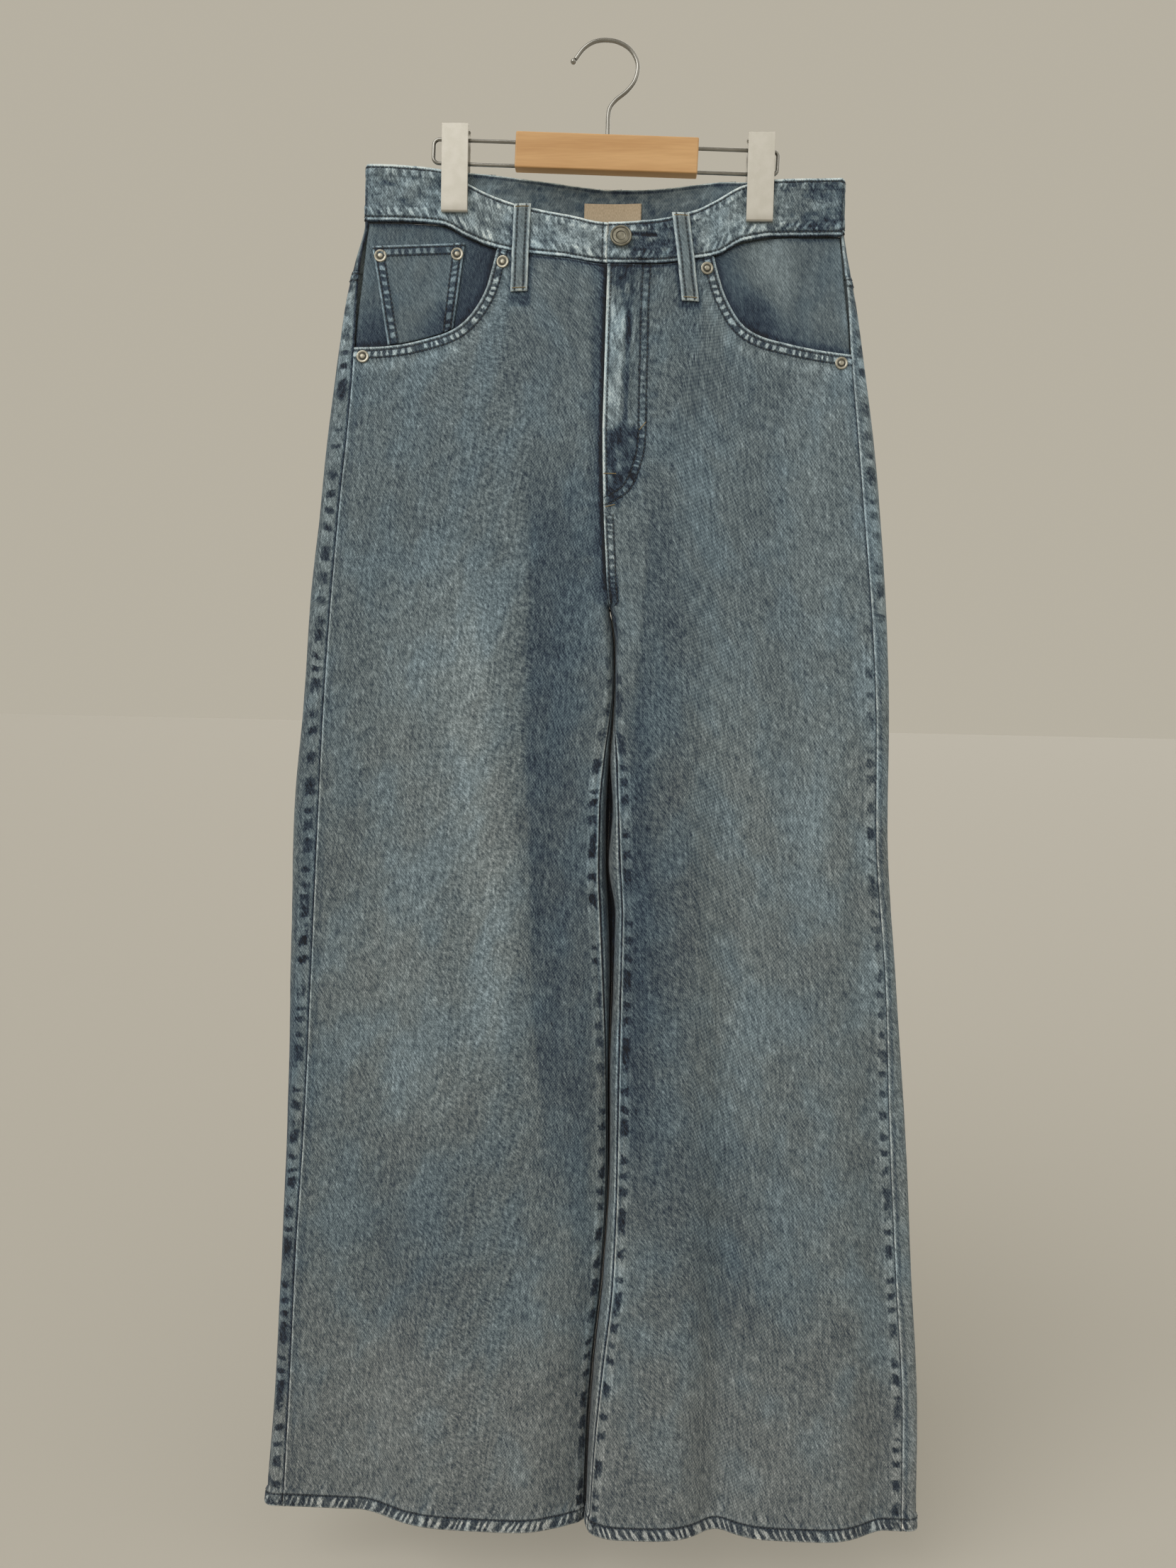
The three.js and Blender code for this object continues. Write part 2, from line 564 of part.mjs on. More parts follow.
function coinPocket() {
  const scoop = scoopCurve(LEFT);
  const scoopZ = (x) => {
    let [low, high] = [0, 1];
    for (let pass = 0; pass < 24; pass += 1) {
      const half = (low + high) / 2;
      if (scoop.getPoint(half).x < x) low = half;
      else high = half;
    }
    return scoop.getPoint(low).y;
  };
  const at = (u, v) => {
    const { left, right, lowLeft, lowRight } = COIN_POCKET;
    const top = { x: mix(left.x, right.x, u), z: mix(left.z, right.z, u) };
    const lowX = mix(lowLeft, lowRight, u);
    return { x: mix(top.x, lowX, v), z: mix(top.z, scoopZ(lowX) + COIN_POCKET.clearance, v) };
  };
  return patch(LEFT, 'front', 8, 6, at, () => POCKET_CLOTH - DENIM, POCKET_CLOTH);
}

function backPocket(leg) {
  const at = (u, v) => {
    const half = (BACK_POCKET.width - BACK_POCKET.taper * v) / 2;
    const centre = FULL_CENTRE + leg.sign * (BACK_POCKET.fromCentre + BACK_POCKET.width / 2);
    const across = 2 * u - 1;
    const bottom = BACK_POCKET.height + BACK_POCKET.point * (1 - Math.abs(across));
    return { x: centre + across * half, z: BACK_POCKET.topZ - v * bottom };
  };
  return patch(leg, 'back', 9, 8, at, () => LAP_GAP + POCKET_CLOTH, POCKET_CLOTH);
}

// Fly facing and zip, hidden behind the fronts
function flyFacing() {
  const at = (u, v) => {
    const { topZ, bottomZ, width, roundFrom } = FLY_FACING;
    const z = mix(topZ, bottomZ, v);
    const intoCurve = Math.max(v - roundFrom, 0) / (1.02 - roundFrom);
    const reach = width * Math.sqrt(Math.max(1 - intoCurve ** 2, 0.1));
    return { x: fly(z) + 2 * LAP_GAP + reach * u, z };
  };
  return patch(RIGHT, 'front', 4, 10, at, () => -DENIM - LAP_GAP, POCKET_CLOTH);
}

function zip() {
  const at = (u, v) => {
    const z = mix(ZIP.topZ, ZIP.bottomZ, v);
    return { x: fly(z) + mix(-ZIP.halfWidth, ZIP.halfWidth, u), z };
  };
  const out = -DENIM - 2 * LAP_GAP - POCKET_CLOTH;
  return patch(RIGHT, 'front', 4, 8, at, () => out, POCKET_CLOTH);
}

function label() {
  const { leftX, rightX, topZ, bottomZ, thickness } = LABEL;
  const at = (u, v) => ({ x: mix(leftX, rightX, u), z: mix(topZ, bottomZ, v) });
  return patch(RIGHT, 'back', 5, 3, at, () => BAND_RISE - WAISTBAND - LAP_GAP, thickness);
}

// Belt loops stand on the band and step down to the panel below it
function beltLoop({ side, topX, bottomX }) {
  const [columns, rows] = [3, 9];
  const topZ = bandEdge[`${side}Top`](topX) + LOOP.topRise;
  const bandEnd = bandEdge[`${side}Bottom`](topX);
  const place = (i, j) => {
    const share = j / (rows - 1);
    const x = mix(topX, bottomX, share) + LOOP.width * (i / (columns - 1) - 0.5);
    return { leg: topX < 5 ? LEFT : RIGHT, side, x, z: topZ - LOOP.length * share };
  };
  const lift = (i, j) => {
    const { z } = place(i, j);
    const down = smooth(bandEnd - 1.5, bandEnd - 9, z);
    return LAP_GAP + LOOP.thickness + mix(BAND_RISE, 0, down);
  };
  return clothWall(columns, rows, place, lift, () => LOOP.thickness);
}

// Round fastenings stand on the cloth, turned along the way out of it
function standOn(mesh, leg, side, x, z, out) {
  const point = onCloth(leg, side, x, z, out);
  const way = outward(leg, x, clothY(leg, side, x, z), z);
  mesh.position.copy(point);
  mesh.quaternion.setFromUnitVectors(new THREE.Vector3(0, 1, 0), way);
}

function turned(profile, segments) {
  const points = profile.map(([radius, height]) => new THREE.Vector2(radius, height));
  const geometry = new THREE.LatheGeometry(points, segments);
  geometry.deleteAttribute('normal');
  geometry.deleteAttribute('uv');
  return mergeVertices(geometry);
}

function buttonShape() {
  const { radius, height } = BUTTON;
  return turned([
    [0, 0], [radius * 0.55, 0], [radius * 0.6, height * 0.3], [radius, height * 0.45],
    [radius, height * 0.8], [radius * 0.93, height], [radius * 0.8, height * 0.86],
    [radius * 0.42, height * 0.92], [radius * 0.3, height * 0.78], [0, height * 0.78],
  ], 18);
}

function rivetShape() {
  const { radius, height } = RIVET;
  return turned([
    [0, 0], [radius, 0], [radius * 0.94, height * 0.6], [radius * 0.5, height * 0.55],
    [radius * 0.35, height], [0, height * 1.05],
  ], 11);
}

// Bent wire: a round section drawn along a path
function wire(curve, radius, sides, steps) {
  const circle = new THREE.Shape();
  for (let i = 0; i < sides; i += 1) {
    const angle = (2 * Math.PI * i) / sides;
    const point = [radius * Math.cos(angle), radius * Math.sin(angle)];
    if (i === 0) circle.moveTo(...point);
    else circle.lineTo(...point);
  }
  circle.closePath();
  return new THREE.ExtrudeGeometry(circle, { extrudePath: curve, steps, curveSegments: 1 });
}

function flatPath(points) {
  return new THREE.CatmullRomCurve3(points.map(([x, z]) => new THREE.Vector3(x, 0, z)), false);
}

// The hook bends over the peg, back under itself and straight down to the block
const HOOK_PATH = [
  [-23.6, -12.8], [-17.2, -4.6], [-9.2, 0.4], [0, 1.7], [9.6, 0.2], [18.6, -4.9], [24.3, -13.3],
  [25.2, -21], [22.6, -29.8], [16.6, -37.2], [8.9, -43.4], [4.3, -49.2], [2.9, -55.8],
  [2.8, -63], [2.8, -70.9],
];

// One end of the wire frame: out from the block, round the end and back
function frameLoop(sign, reach, start) {
  const [upper, lower] = ROD_Z;
  const corner = LOOP_CORNER;
  const path = new THREE.CurvePath();
  const point = (x, z) => new THREE.Vector3(sign * x, 0, z);
  const line = (a, b) => path.add(new THREE.LineCurve3(a, b));
  const bend = (a, control, b) => path.add(new THREE.QuadraticBezierCurve3(a, control, b));
  line(point(start, upper), point(reach - corner, upper));
  bend(point(reach - corner, upper), point(reach, upper), point(reach, upper - corner));
  line(point(reach, upper - corner), point(reach, lower + corner));
  bend(point(reach, lower + corner), point(reach, lower), point(reach - corner, lower));
  line(point(reach - corner, lower), point(start, lower));
  return wire(path, WIRE_RADIUS, 8, 32);
}

// Clip plates: sheet metal with a thick jaw at the lower end, drawn in side view
function clipPlate(side) {
  const { height, plate, jaw, gripY, backY } = CLIP;
  const outline = [
    [backY - 1.2, 0], [backY, -1.2], [backY, -height * 0.5], [backY - 0.9, -height + 1.5],
    [backY - 1.6, -height], [gripY, -height], [gripY, -height + jaw],
    [backY - plate, -height + jaw + 5], [backY - plate, -1.4], [backY - plate - 2.5, -1.4],
    [backY - plate - 2.5, 0],
  ];
  const shape = new THREE.Shape(outline.map(([y, z]) => new THREE.Vector2(side * y, z)));
  return new THREE.ExtrudeGeometry(shape, { depth: CLIP.width, bevelEnabled: false });
}

function slider() {
  const { halfDepth, topZ, bottomZ, hole, width } = SLIDER;
  const shape = new THREE.Shape([
    new THREE.Vector2(-halfDepth, bottomZ), new THREE.Vector2(halfDepth, bottomZ),
    new THREE.Vector2(halfDepth, topZ), new THREE.Vector2(-halfDepth, topZ),
  ]);
  for (const z of ROD_Z) shape.holes.push(new THREE.Path().absarc(0, z, hole, 0, 2 * Math.PI, true));
  return new THREE.ExtrudeGeometry(shape, { depth: width, bevelEnabled: false, curveSegments: 5 });
}

// Turns a side view drawn in y and z, extruded along its third axis, to lie along x
function alongX(geometry, middleX) {
  geometry.computeBoundingBox();
  const { min, max } = geometry.boundingBox;
  const turn = new THREE.Matrix4().set(0, 0, 1, 0, 1, 0, 0, 0, 0, 1, 0, 0, 0, 0, 0, 1);
  geometry.translate(0, 0, -(min.z + max.z) / 2);
  geometry.applyMatrix4(turn);
  geometry.translate(middleX, 0, 0);
  return geometry;
}

function blockShape() {
  const { width, depth, height, corner } = BLOCK;
  const [y, z] = [depth / 2, height];
  const outline = [
    [-y + corner, 0], [-y, -corner], [-y, -z + corner], [-y + corner, -z],
    [y - corner, -z], [y, -z + corner], [y, -corner], [y - corner, 0],
  ];
  const shape = new THREE.Shape(outline.map(([a, b]) => new THREE.Vector2(a, b)));
  return new THREE.ExtrudeGeometry(shape, { depth: width, bevelEnabled: false });
}

add('hook', wire(flatPath(HOOK_PATH), HOOK_RADIUS, 8, 42), chrome);
const ball = new THREE.SphereGeometry(HOOK_BALL.radius, 12, 8);
ball.deleteAttribute('normal');
ball.deleteAttribute('uv');
add('hook_ball', mergeVertices(ball), chrome).position.set(HOOK_BALL.x, 0, HOOK_BALL.z);

const blockEnd = { left: BLOCK.leftX - LAP_GAP, right: BLOCK.leftX + BLOCK.width + LAP_GAP };
add('hanger_block', alongX(blockShape(), BLOCK.leftX + BLOCK.width / 2), birch, hanger);
add('wire_frame_left', frameLoop(-1, FRAME_REACH.left, -blockEnd.left), chrome, hanger);
add('wire_frame_right', frameLoop(1, FRAME_REACH.right, blockEnd.right), chrome, hanger);
for (const clip of CLIPS) {
  add(`clip_slider_${clip.name}`, alongX(slider(), clip.x - HANGER.x), chrome, hanger);
  const front = add(`clip_front_${clip.name}`, alongX(clipPlate(-1), clip.x), chrome);
  const back = add(`clip_back_${clip.name}`, alongX(clipPlate(1), clip.x), chrome);
  front.position.z = clip.topZ;
  back.position.z = clip.topZ;
}

for (const leg of [LEFT, RIGHT]) {
  add(`front_${leg.name}`, frontPanel(leg), denim);
  add(`back_${leg.name}`, backPanel(leg), denim);
  add(`yoke_${leg.name}`, yoke(leg), denim);
  add(`waistband_front_${leg.name}`, bandFront(leg), denim);
  add(`pocket_facing_${leg.name}`, pocketFacing(leg), denimDark);
  add(`back_pocket_${leg.name}`, backPocket(leg), denim);
}
add('waistband_back', bandBack(), denim);
add('coin_pocket', coinPocket(), denimDark);
add('fly_facing', flyFacing(), denimDark);
add('zip', zip(), denimDark);
add('label', label(), labelCloth);
for (const loop of LOOPS) add(loop.name, beltLoop(loop), denim);

const button = add('button', buttonShape(), nickel);
standOn(button, RIGHT, 'front', BUTTON.x, BUTTON.z, BAND_RISE + LAP_GAP);
for (const rivet of RIVETS) {
  const leg = rivet.leg === 'left' ? LEFT : RIGHT;
  standOn(add(rivet.name, rivetShape(), nickel), leg, 'front', rivet.x, rivet.z, rivet.lift + LAP_GAP);
}

export default group;
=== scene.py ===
# %% [markdown]
# Loose fit jeans on a clip hanger
# The jeans hang flat from two clips, and the hanger's hook hangs on a peg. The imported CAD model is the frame: it
# says where every seam is. This lesson lays finer cloth on the same sections, sews it and washes it.

# %% Load the frame
import math
from collections import namedtuple

import bmesh
import bpy
import numpy as np
from mathutils import Matrix, Vector
from mathutils.bvhtree import BVHTree


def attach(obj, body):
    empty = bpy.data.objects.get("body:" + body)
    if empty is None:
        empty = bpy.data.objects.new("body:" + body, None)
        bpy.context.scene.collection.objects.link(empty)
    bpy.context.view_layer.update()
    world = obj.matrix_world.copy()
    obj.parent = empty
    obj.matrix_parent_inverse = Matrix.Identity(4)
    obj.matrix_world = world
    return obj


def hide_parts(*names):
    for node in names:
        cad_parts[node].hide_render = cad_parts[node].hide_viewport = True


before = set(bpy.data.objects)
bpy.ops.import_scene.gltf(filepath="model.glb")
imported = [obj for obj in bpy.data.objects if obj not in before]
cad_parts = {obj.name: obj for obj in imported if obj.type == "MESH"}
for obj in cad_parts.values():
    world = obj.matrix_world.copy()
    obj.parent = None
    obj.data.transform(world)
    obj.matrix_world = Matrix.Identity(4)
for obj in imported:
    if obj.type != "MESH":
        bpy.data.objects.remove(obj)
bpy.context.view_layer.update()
MM = 0.001
print("CAD nodes:", len(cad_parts))

# %% [markdown]
# The camera stands about a metre in front of the jeans, a little lower than the crotch, and looks slightly down. Its
# directions were worked out from the photograph, so they are given as they are.

# %% Camera
CAMERA_PLACE = Vector((0.02555, -0.955, -0.52287))
CAMERA_RIGHT = Vector((0.99933, 0.02991, 0.02125))
CAMERA_UP = Vector((-0.02303, 0.06040, 0.99791))
LENS, SENSOR_HEIGHT = 27.05, 36

camera_data = bpy.data.cameras.new("camera")
camera_data.sensor_fit, camera_data.sensor_height, camera_data.lens = "VERTICAL", SENSOR_HEIGHT, LENS
camera = bpy.data.objects.new("camera", camera_data)
bpy.context.scene.collection.objects.link(camera)
turn = Matrix((CAMERA_RIGHT, CAMERA_UP, CAMERA_RIGHT.cross(CAMERA_UP))).transposed().to_4x4()
camera.matrix_world = Matrix.Translation(CAMERA_PLACE) @ turn
bpy.context.scene.camera = camera
print("lens", camera_data.lens)

# %% [markdown]
# A tailor's pattern is a few measured lines. These tables hold them in millimetres, seen from the front: the side
# edges and side seams, the inner edges and inseams, the centre seams and the edges of the waistband.

# %% Lines of the garment
HEM_Z, HEM_HEIGHT, HEM_RISE = -1200, 12, 1.2
CROTCH_X, CROTCH_Z = 12.5, -440
SEAM_GAP, LAP_GAP, BAND_GAP = 0.15, 0.3, 0.8
DENIM, POCKET_CLOTH, WAISTBAND, BAND_RISE, FLY_RISE = 1.6, 1.2, 3.0, 0.9, 1.0

SIDES = {  # z: left edge, left seam, right seam, right edge
    -90: (-187.0, -185.2, 186.9, 188.6), -140: (-188.1, -186.2, 187.6, 189.5),
    -170: (-195.5, -191.2, 191.4, 194.6), -200: (-202.4, -193.6, 194.9, 201.2),
    -240: (-208.2, -194.8, 198.0, 208.0), -300: (-215.6, -198.4, 204.4, 217.7),
    -360: (-221.3, -204.3, 211.0, 225.3), -440: (-229.4, -210.8, 220.1, 233.2),
    -520: (-234.4, -215.9, 226.6, 238.3), -620: (-241.7, -220.4, 230.4, 241.2),
    -740: (-243.9, -225.3, 242.6, 252.3), -860: (-246.4, -230.4, 250.6, 264.7),
    -980: (-250.9, -237.6, 260.4, 274.2), -1100: (-256.3, -242.8, 270.7, 283.9),
    -1200: (-263.6, -247.6, 273.5, 286.6),
}
INSIDES = {  # z: left seam, left edge, right edge, right seam
    -440: (12.5, 12.5, 12.5, 12.5), -448: (12.6, 13.5, 15.0, 16.0), -470: (15.0, 16.0, 18.2, 19.2),
    -505: (16.2, 17.2, 18.5, 19.5), -533: (13.6, 16.3, 17.6, 19.7), -560: (10.6, 14.7, 16.0, 21.9),
    -601: (8.0, 13.3, 18.9, 24.0), -645: (8.2, 14.4, 16.2, 26.3), -689: (10.6, 17.2, 22.9, 29.0),
    -748: (14.2, 19.6, 22.5, 29.1), -808: (17.4, 19.8, 21.2, 29.1), -907: (19.8, 21.5, 22.9, 29.5),
    -985: (17.2, 18.6, 20.0, 28.0), -1064: (10.8, 12.0, 13.4, 21.0), -1125: (8.0, 9.2, 10.6, 16.1),
    -1200: (7.0, 8.1, 9.5, 12.9),
}
CENTRE = {  # z: edge of the fly, centre seam of the seat
    -90: (5.0, 8.0), -188: (5.0, 8.0), -215: (4.0, 8.0), -297: (4.0, 8.2), -361: (6.0, 9.0),
    -408: (9.0, 10.5), -425: (10.2, 11.5), -440: (12.5, 12.5),
}
BAND = {  # x: front top, front bottom, back top, back bottom
    -190: (-95, -139, -95, -138), -160: (-96, -139, -96, -138), -128: (-99, -141, -97, -139),
    -104: (-111, -151, -98.5, -140), -89: (-118, -157, -99.5, -141), -70: (-125, -162, -100.5, -142),
    -27: (-135, -169, -103, -145), 4: (-141, -174, -105.5, -147), 39: (-138, -173, -106, -147),
    73: (-129, -167, -104.5, -146), 89: (-121, -163, -103.5, -145), 110: (-109.5, -152, -103.7, -145),
    134: (-104.5, -148, -103.9, -145), 190: (-103, -147, -103.5, -145),
}
FULLNESS = {-90: (1.5, 11), -141: (7, 12), -178: (12, 12), -360: (12, 12)}  # z: front, seat
FOLDS = (  # leg, face, place across, reach outwards, reach inwards, height at the hem
    ("left", "front", 0.684, 0.39, 0.36, 21.5), ("right", "front", 0.854, 0.275, 0.22, 25),
    ("right", "front", 0.374, 0.28, 0.28, 18), ("left", "back", 0.42, 0.34, 0.36, 9),
    ("right", "back", 0.6, 0.36, 0.3, 8),
)
SCOOP = {  # the edges of the front pockets, from the side seam up to the band
    "left": ((-194.7, -238), (-171, -237), (-148, -233.5), (-120, -225), (-104, -213), (-92, -194),
             (-86, -174), (-82.5, -160.1)),
    "right": ((197.8, -239), (170, -235.5), (146, -230.5), (126, -225), (111, -215), (99, -196),
              (93, -180), (88.5, -164.1)),
}
print("rows of side lines:", len(SIDES))

# %% [markdown]
# Each item of a table becomes a smooth line. The slope at a row is the harmonic mean of its neighbours' slopes, so
# the line never swings past the measured points. Everything works on whole arrays, which keeps the lesson quick.

# %% Smooth lines through the tables
def mix(a, b, share):
    return a + (b - a) * share


def ease(start, end, at):
    """0 at start and 1 at end, with a soft way between them."""
    share = np.clip((at - start) / (end - start), 0, 1)
    return share * share * (3 - 2 * share)


def bell(at):
    """1 in the middle and 0 from -1 and 1 outwards."""
    return np.cos(np.pi / 2 * np.clip(at, -1, 1)) ** 2


def line_of(table, item):
    places = np.array(sorted(table), float)
    values = np.array([table[place][item] for place in sorted(table)], float)
    slopes = np.diff(values) / np.diff(places)
    before, after = slopes[:-1], slopes[1:]
    same_way = before * after > 0
    inner = np.where(same_way, 2 * before * after / np.where(same_way, before + after, 1), 0)
    tangents = np.concatenate((slopes[:1], inner, slopes[-1:]))

    def at(place):
        place = np.clip(place, places[0], places[-1])
        i = np.clip(np.searchsorted(places, place) - 1, 0, len(slopes) - 1)
        span = places[i + 1] - places[i]
        t = (place - places[i]) / span
        bend = tangents[i] * t * (1 - t) ** 2 - tangents[i + 1] * t * t * (1 - t)
        return mix(values[i], values[i + 1], t * t * (3 - 2 * t)) + span * bend

    return at


class Leg:
    """One leg: the way it lies from the middle, and the lines that it is drawn from."""

    def __init__(self, name, sign, edge, seam):
        self.name, self.sign = name, sign
        self.edge, self.seam = line_of(SIDES, edge), line_of(SIDES, seam)
        self.inner, self.inseam = line_of(INSIDES, seam), line_of(INSIDES, edge)


LEFT, RIGHT = Leg("left", -1, 0, 1), Leg("right", 1, 3, 2)
LEGS = (LEFT, RIGHT)
fly, seat = line_of(CENTRE, 0), line_of(CENTRE, 1)
front_top, front_bottom, back_top, back_bottom = (line_of(BAND, i) for i in range(4))
full_front, full_seat = line_of(FULLNESS, 0), line_of(FULLNESS, 1)
print("waist across:", float(RIGHT.edge(-110.0) - LEFT.edge(-110.0)), "mm")

# %% [markdown]
# A hung leg is a flat tube: its front and back lie close, its edges are round and long folds run down to the hem.
# The section at each height gives the depth of the cloth, and the slope of that section gives the way out of it.

# %% The hollow form that the cloth lies on
RIM_DEPTH, MIDDLE_X, FULL_HALF, HIP_HALF = 3.6, 3, 112, 210
HIP_TOP, HIP_END = -150, -340
HIP_DEPTH, HIP_MIDDLE = {"front": 11, "back": 9}, 4
HEM_DEPTH = {"front": 2.5, "back": 8}
FOLD_START, FOLD_GROWTH = -380, 1.15
WAIST_ROUND, HIP_ROUND, INNER_ROUND = 4, 9, 7
ROUND_TOP, ROUND_END = -150, -300
SLOPE_STEP = 0.05


def fold_depth(leg, face, x, z):
    growth = np.maximum((FOLD_START - z) / (FOLD_START - HEM_Z), 0) ** FOLD_GROWTH
    inner = np.where(z < CROTCH_Z, leg.inner(z), CROTCH_X)
    across = (x - leg.edge(z)) / (inner - leg.edge(z))
    depth = np.zeros_like(across)
    for name, where, place, outwards, inwards, height in FOLDS:
        if (name, where) == (leg.name, face):
            reach = np.where(across < place, outwards, inwards)
            depth += height * growth * bell(((across - place) / reach) ** 2)
    return depth


def full_depth(leg, face, x, z):
    full = full_front(z) if face == "front" else full_seat(z)
    upper = RIM_DEPTH + full * bell((x - MIDDLE_X) / FULL_HALF)
    hip = HIP_DEPTH[face] + HIP_MIDDLE * bell((x - MIDDLE_X) / HIP_HALF)
    body = mix(upper, hip, ease(HIP_TOP, HIP_END, z))
    return mix(body, HEM_DEPTH[face], ease(CROTCH_Z, HEM_Z, z)) + fold_depth(leg, face, x, z)


def section(leg, x, z):
    front, back = -full_depth(leg, "front", x, z), full_depth(leg, "back", x, z)
    reach = mix(WAIST_ROUND, HIP_ROUND, ease(ROUND_TOP, ROUND_END, z))
    from_edge = np.minimum(leg.sign * (leg.edge(z) - x) / reach, 1)
    gap = np.where(z > CROTCH_Z, np.hypot(x - CROTCH_X, z - CROTCH_Z), leg.sign * (x - leg.inner(z)))
    from_inner = np.minimum(gap / INNER_ROUND, 1)
    roundness = (1 - (1 - from_edge) ** 2) * (1 - (1 - from_inner) ** 2)
    return (front + back) / 2, (back - front) / 2, roundness


def on_leg(leg, front, x, z, out):
    """Points on one leg's cloth, and the way out of it."""
    middle, half, roundness = section(leg, x, z)
    y = middle + np.where(front, -1, 1) * half * np.sqrt(np.maximum(roundness, 0))

    def level(px, py, pz):
        mid, deep, rounded = section(leg, px, pz)
        return ((py - mid) / deep) ** 2 - rounded

    way = np.stack((
        level(x + SLOPE_STEP, y, z) - level(x - SLOPE_STEP, y, z),
        level(x, y + SLOPE_STEP, z) - level(x, y - SLOPE_STEP, z),
        level(x, y, z + SLOPE_STEP) - level(x, y, z - SLOPE_STEP),
    ), axis=-1)
    way /= np.linalg.norm(way, axis=-1, keepdims=True)
    return np.stack((x, y, z), axis=-1) + way * out[..., None], way


Place = namedtuple("Place", "sign front x z")


def laid(place, out):
    sign, front, x, z, out = np.broadcast_arrays(place.sign, place.front, place.x, place.z, out)
    points, ways = np.zeros(x.shape + (3,)), np.zeros(x.shape + (3,))
    for leg in LEGS:
        here = sign == leg.sign
        if here.any():
            points[here], ways[here] = on_leg(leg, front[here], x[here], z[here], out[here])
    return points, ways


def around(leg, z, turn):
    """Round a leg: 0 on its outer edge, in front to 1 on its inner edge, behind to 2 and on."""
    front = (turn <= 1) | (turn > 2)
    centre = np.where(front, fly(z), seat(z))
    inner = np.where(z < CROTCH_Z, leg.inner(z), centre + leg.sign * SEAM_GAP)
    return front, mix(leg.edge(z), inner, (1 - np.cos(np.pi * turn)) / 2)


def turn_of(leg, z, x, inner):
    share = np.clip((x - leg.edge(z)) / (inner - leg.edge(z)), 0, 1)
    return np.arccos(1 - 2 * share) / np.pi


def seam_turn(leg, z):
    inner = np.where(z < CROTCH_Z, leg.inner(z), fly(z))
    return turn_of(leg, z, leg.seam(z) + leg.sign * SEAM_GAP, inner)


# %% [markdown]
# Drawn lines, such as a pocket's edge, are rows of points. One helper rounds a few points to a smooth row, one finds
# the place a share of the way along it, and one measures how far each spot of the cloth is from it.

# %% Drawn lines on the cloth
def smooth_line(points, steps=16):
    p = np.array(points, float)
    p = np.vstack((2 * p[:1] - p[1:2], p, 2 * p[-1:] - p[-2:-1]))
    t = np.linspace(0, 1, steps, endpoint=False)[:, None]
    rows = []
    for a, b, c, d in zip(p[:-3], p[1:-2], p[2:-1], p[3:]):
        into, out_of = (c - a) / 2, (d - b) / 2
        square, cube = 3 * (c - b) - 2 * into - out_of, 2 * (b - c) + into + out_of
        rows.append(b + into * t + square * t**2 + cube * t**3)
    return np.vstack((*rows, p[-2:-1]))


def lengths(line):
    return np.concatenate(([0], np.cumsum(np.linalg.norm(np.diff(line, axis=0), axis=1))))


def at_share(line, share):
    far = lengths(line)
    return tuple(np.interp(share * far[-1], far, line[:, k]) for k in (0, 1))


def from_line(line, x, z):
    """How far each spot is from the line, and how far along the line it is."""
    best, along = np.full(x.shape, 1e9), np.zeros(x.shape)
    for (a, b), start in zip(zip(line[:-1], line[1:]), lengths(line)):
        run = b - a
        length = max(np.hypot(*run), 1e-9)
        t = np.clip(((x - a[0]) * run[0] + (z - a[1]) * run[1]) / length**2, 0, 1)
        far = np.hypot(x - a[0] - t * run[0], z - a[1] - t * run[1])
        nearer = far < best
        best, along = np.where(nearer, far, best), np.where(nearer, start + t * length, along)
    return best, along


def runs(line):
    """The way that the line runs at each of its points."""
    run = np.gradient(line, axis=0)
    return run / np.linalg.norm(run, axis=1, keepdims=True)


def moved_line(line, away):
    """The line moved sideways, to the right of its way for a positive distance."""
    run = runs(line)
    return line + np.stack((run[:, 1], -run[:, 0]), axis=1) * away


def uneven(along, pitch, seed):
    """A wave from -1 to 1 whose pitch and height wander, as puckers do."""
    turn = 2 * np.pi * along / pitch
    wander = 1.9 * np.sin(0.29 * turn + seed) + 1.1 * np.sin(0.13 * turn + 2.3 * seed)
    return np.sin(turn + wander) * (0.72 + 0.28 * np.sin(0.21 * turn + 3.1 * seed))


def mottle(u, v, grain_u, grain_v, seed):
    """Soft uneven patches from 0 to 1, about grain_u by grain_v millimetres."""
    size = 64
    level = np.random.default_rng(seed).random((size, size))
    total = 0
    for octave, weight in ((1, 0.65), (2, 0.35)):
        a, b = u * octave / grain_u + 7.3 * octave, v * octave / grain_v + 3.1 * octave
        i, j = np.floor(a).astype(int), np.floor(b).astype(int)
        s, t = ease(0, 1, a - i), ease(0, 1, b - j)
        low, high = (mix(level[i % size, row % size], level[(i + 1) % size, row % size], s) for row in (j, j + 1))
        total = total + weight * mix(low, high, t)
    return total


SCOOP_LINE = {}
for leg in LEGS:
    points = list(SCOOP[leg.name])
    points[0] = (float(leg.seam(points[0][1])) - leg.sign * SEAM_GAP, points[0][1])
    SCOOP_LINE[leg.name] = smooth_line(points)
    print(leg.name, "pocket edge:", round(lengths(SCOOP_LINE[leg.name])[-1]), "mm")

# %% [markdown]
# Shader maths reads best as sums. A Signal holds one output of a node, and adding, taking away or multiplying
# signals adds the Math nodes. A Finish makes every other node from its type, its settings and its sockets' values.

# %% Shader maths as sums
class Signal:
    def __init__(self, finish, socket):
        self.finish, self.socket = finish, socket

    def step(self, operation, *values):
        return self.finish.node("ShaderNodeMath", {"operation": operation}, dict(enumerate(values)))

    def __add__(self, other):
        return self.step("ADD", self, other)

    def __sub__(self, other):
        return self.step("SUBTRACT", self, other)

    def __rsub__(self, other):
        return self.step("SUBTRACT", other, self)

    def __mul__(self, other):
        return self.step("MULTIPLY", self, other)

    __radd__, __rmul__ = __add__, __mul__


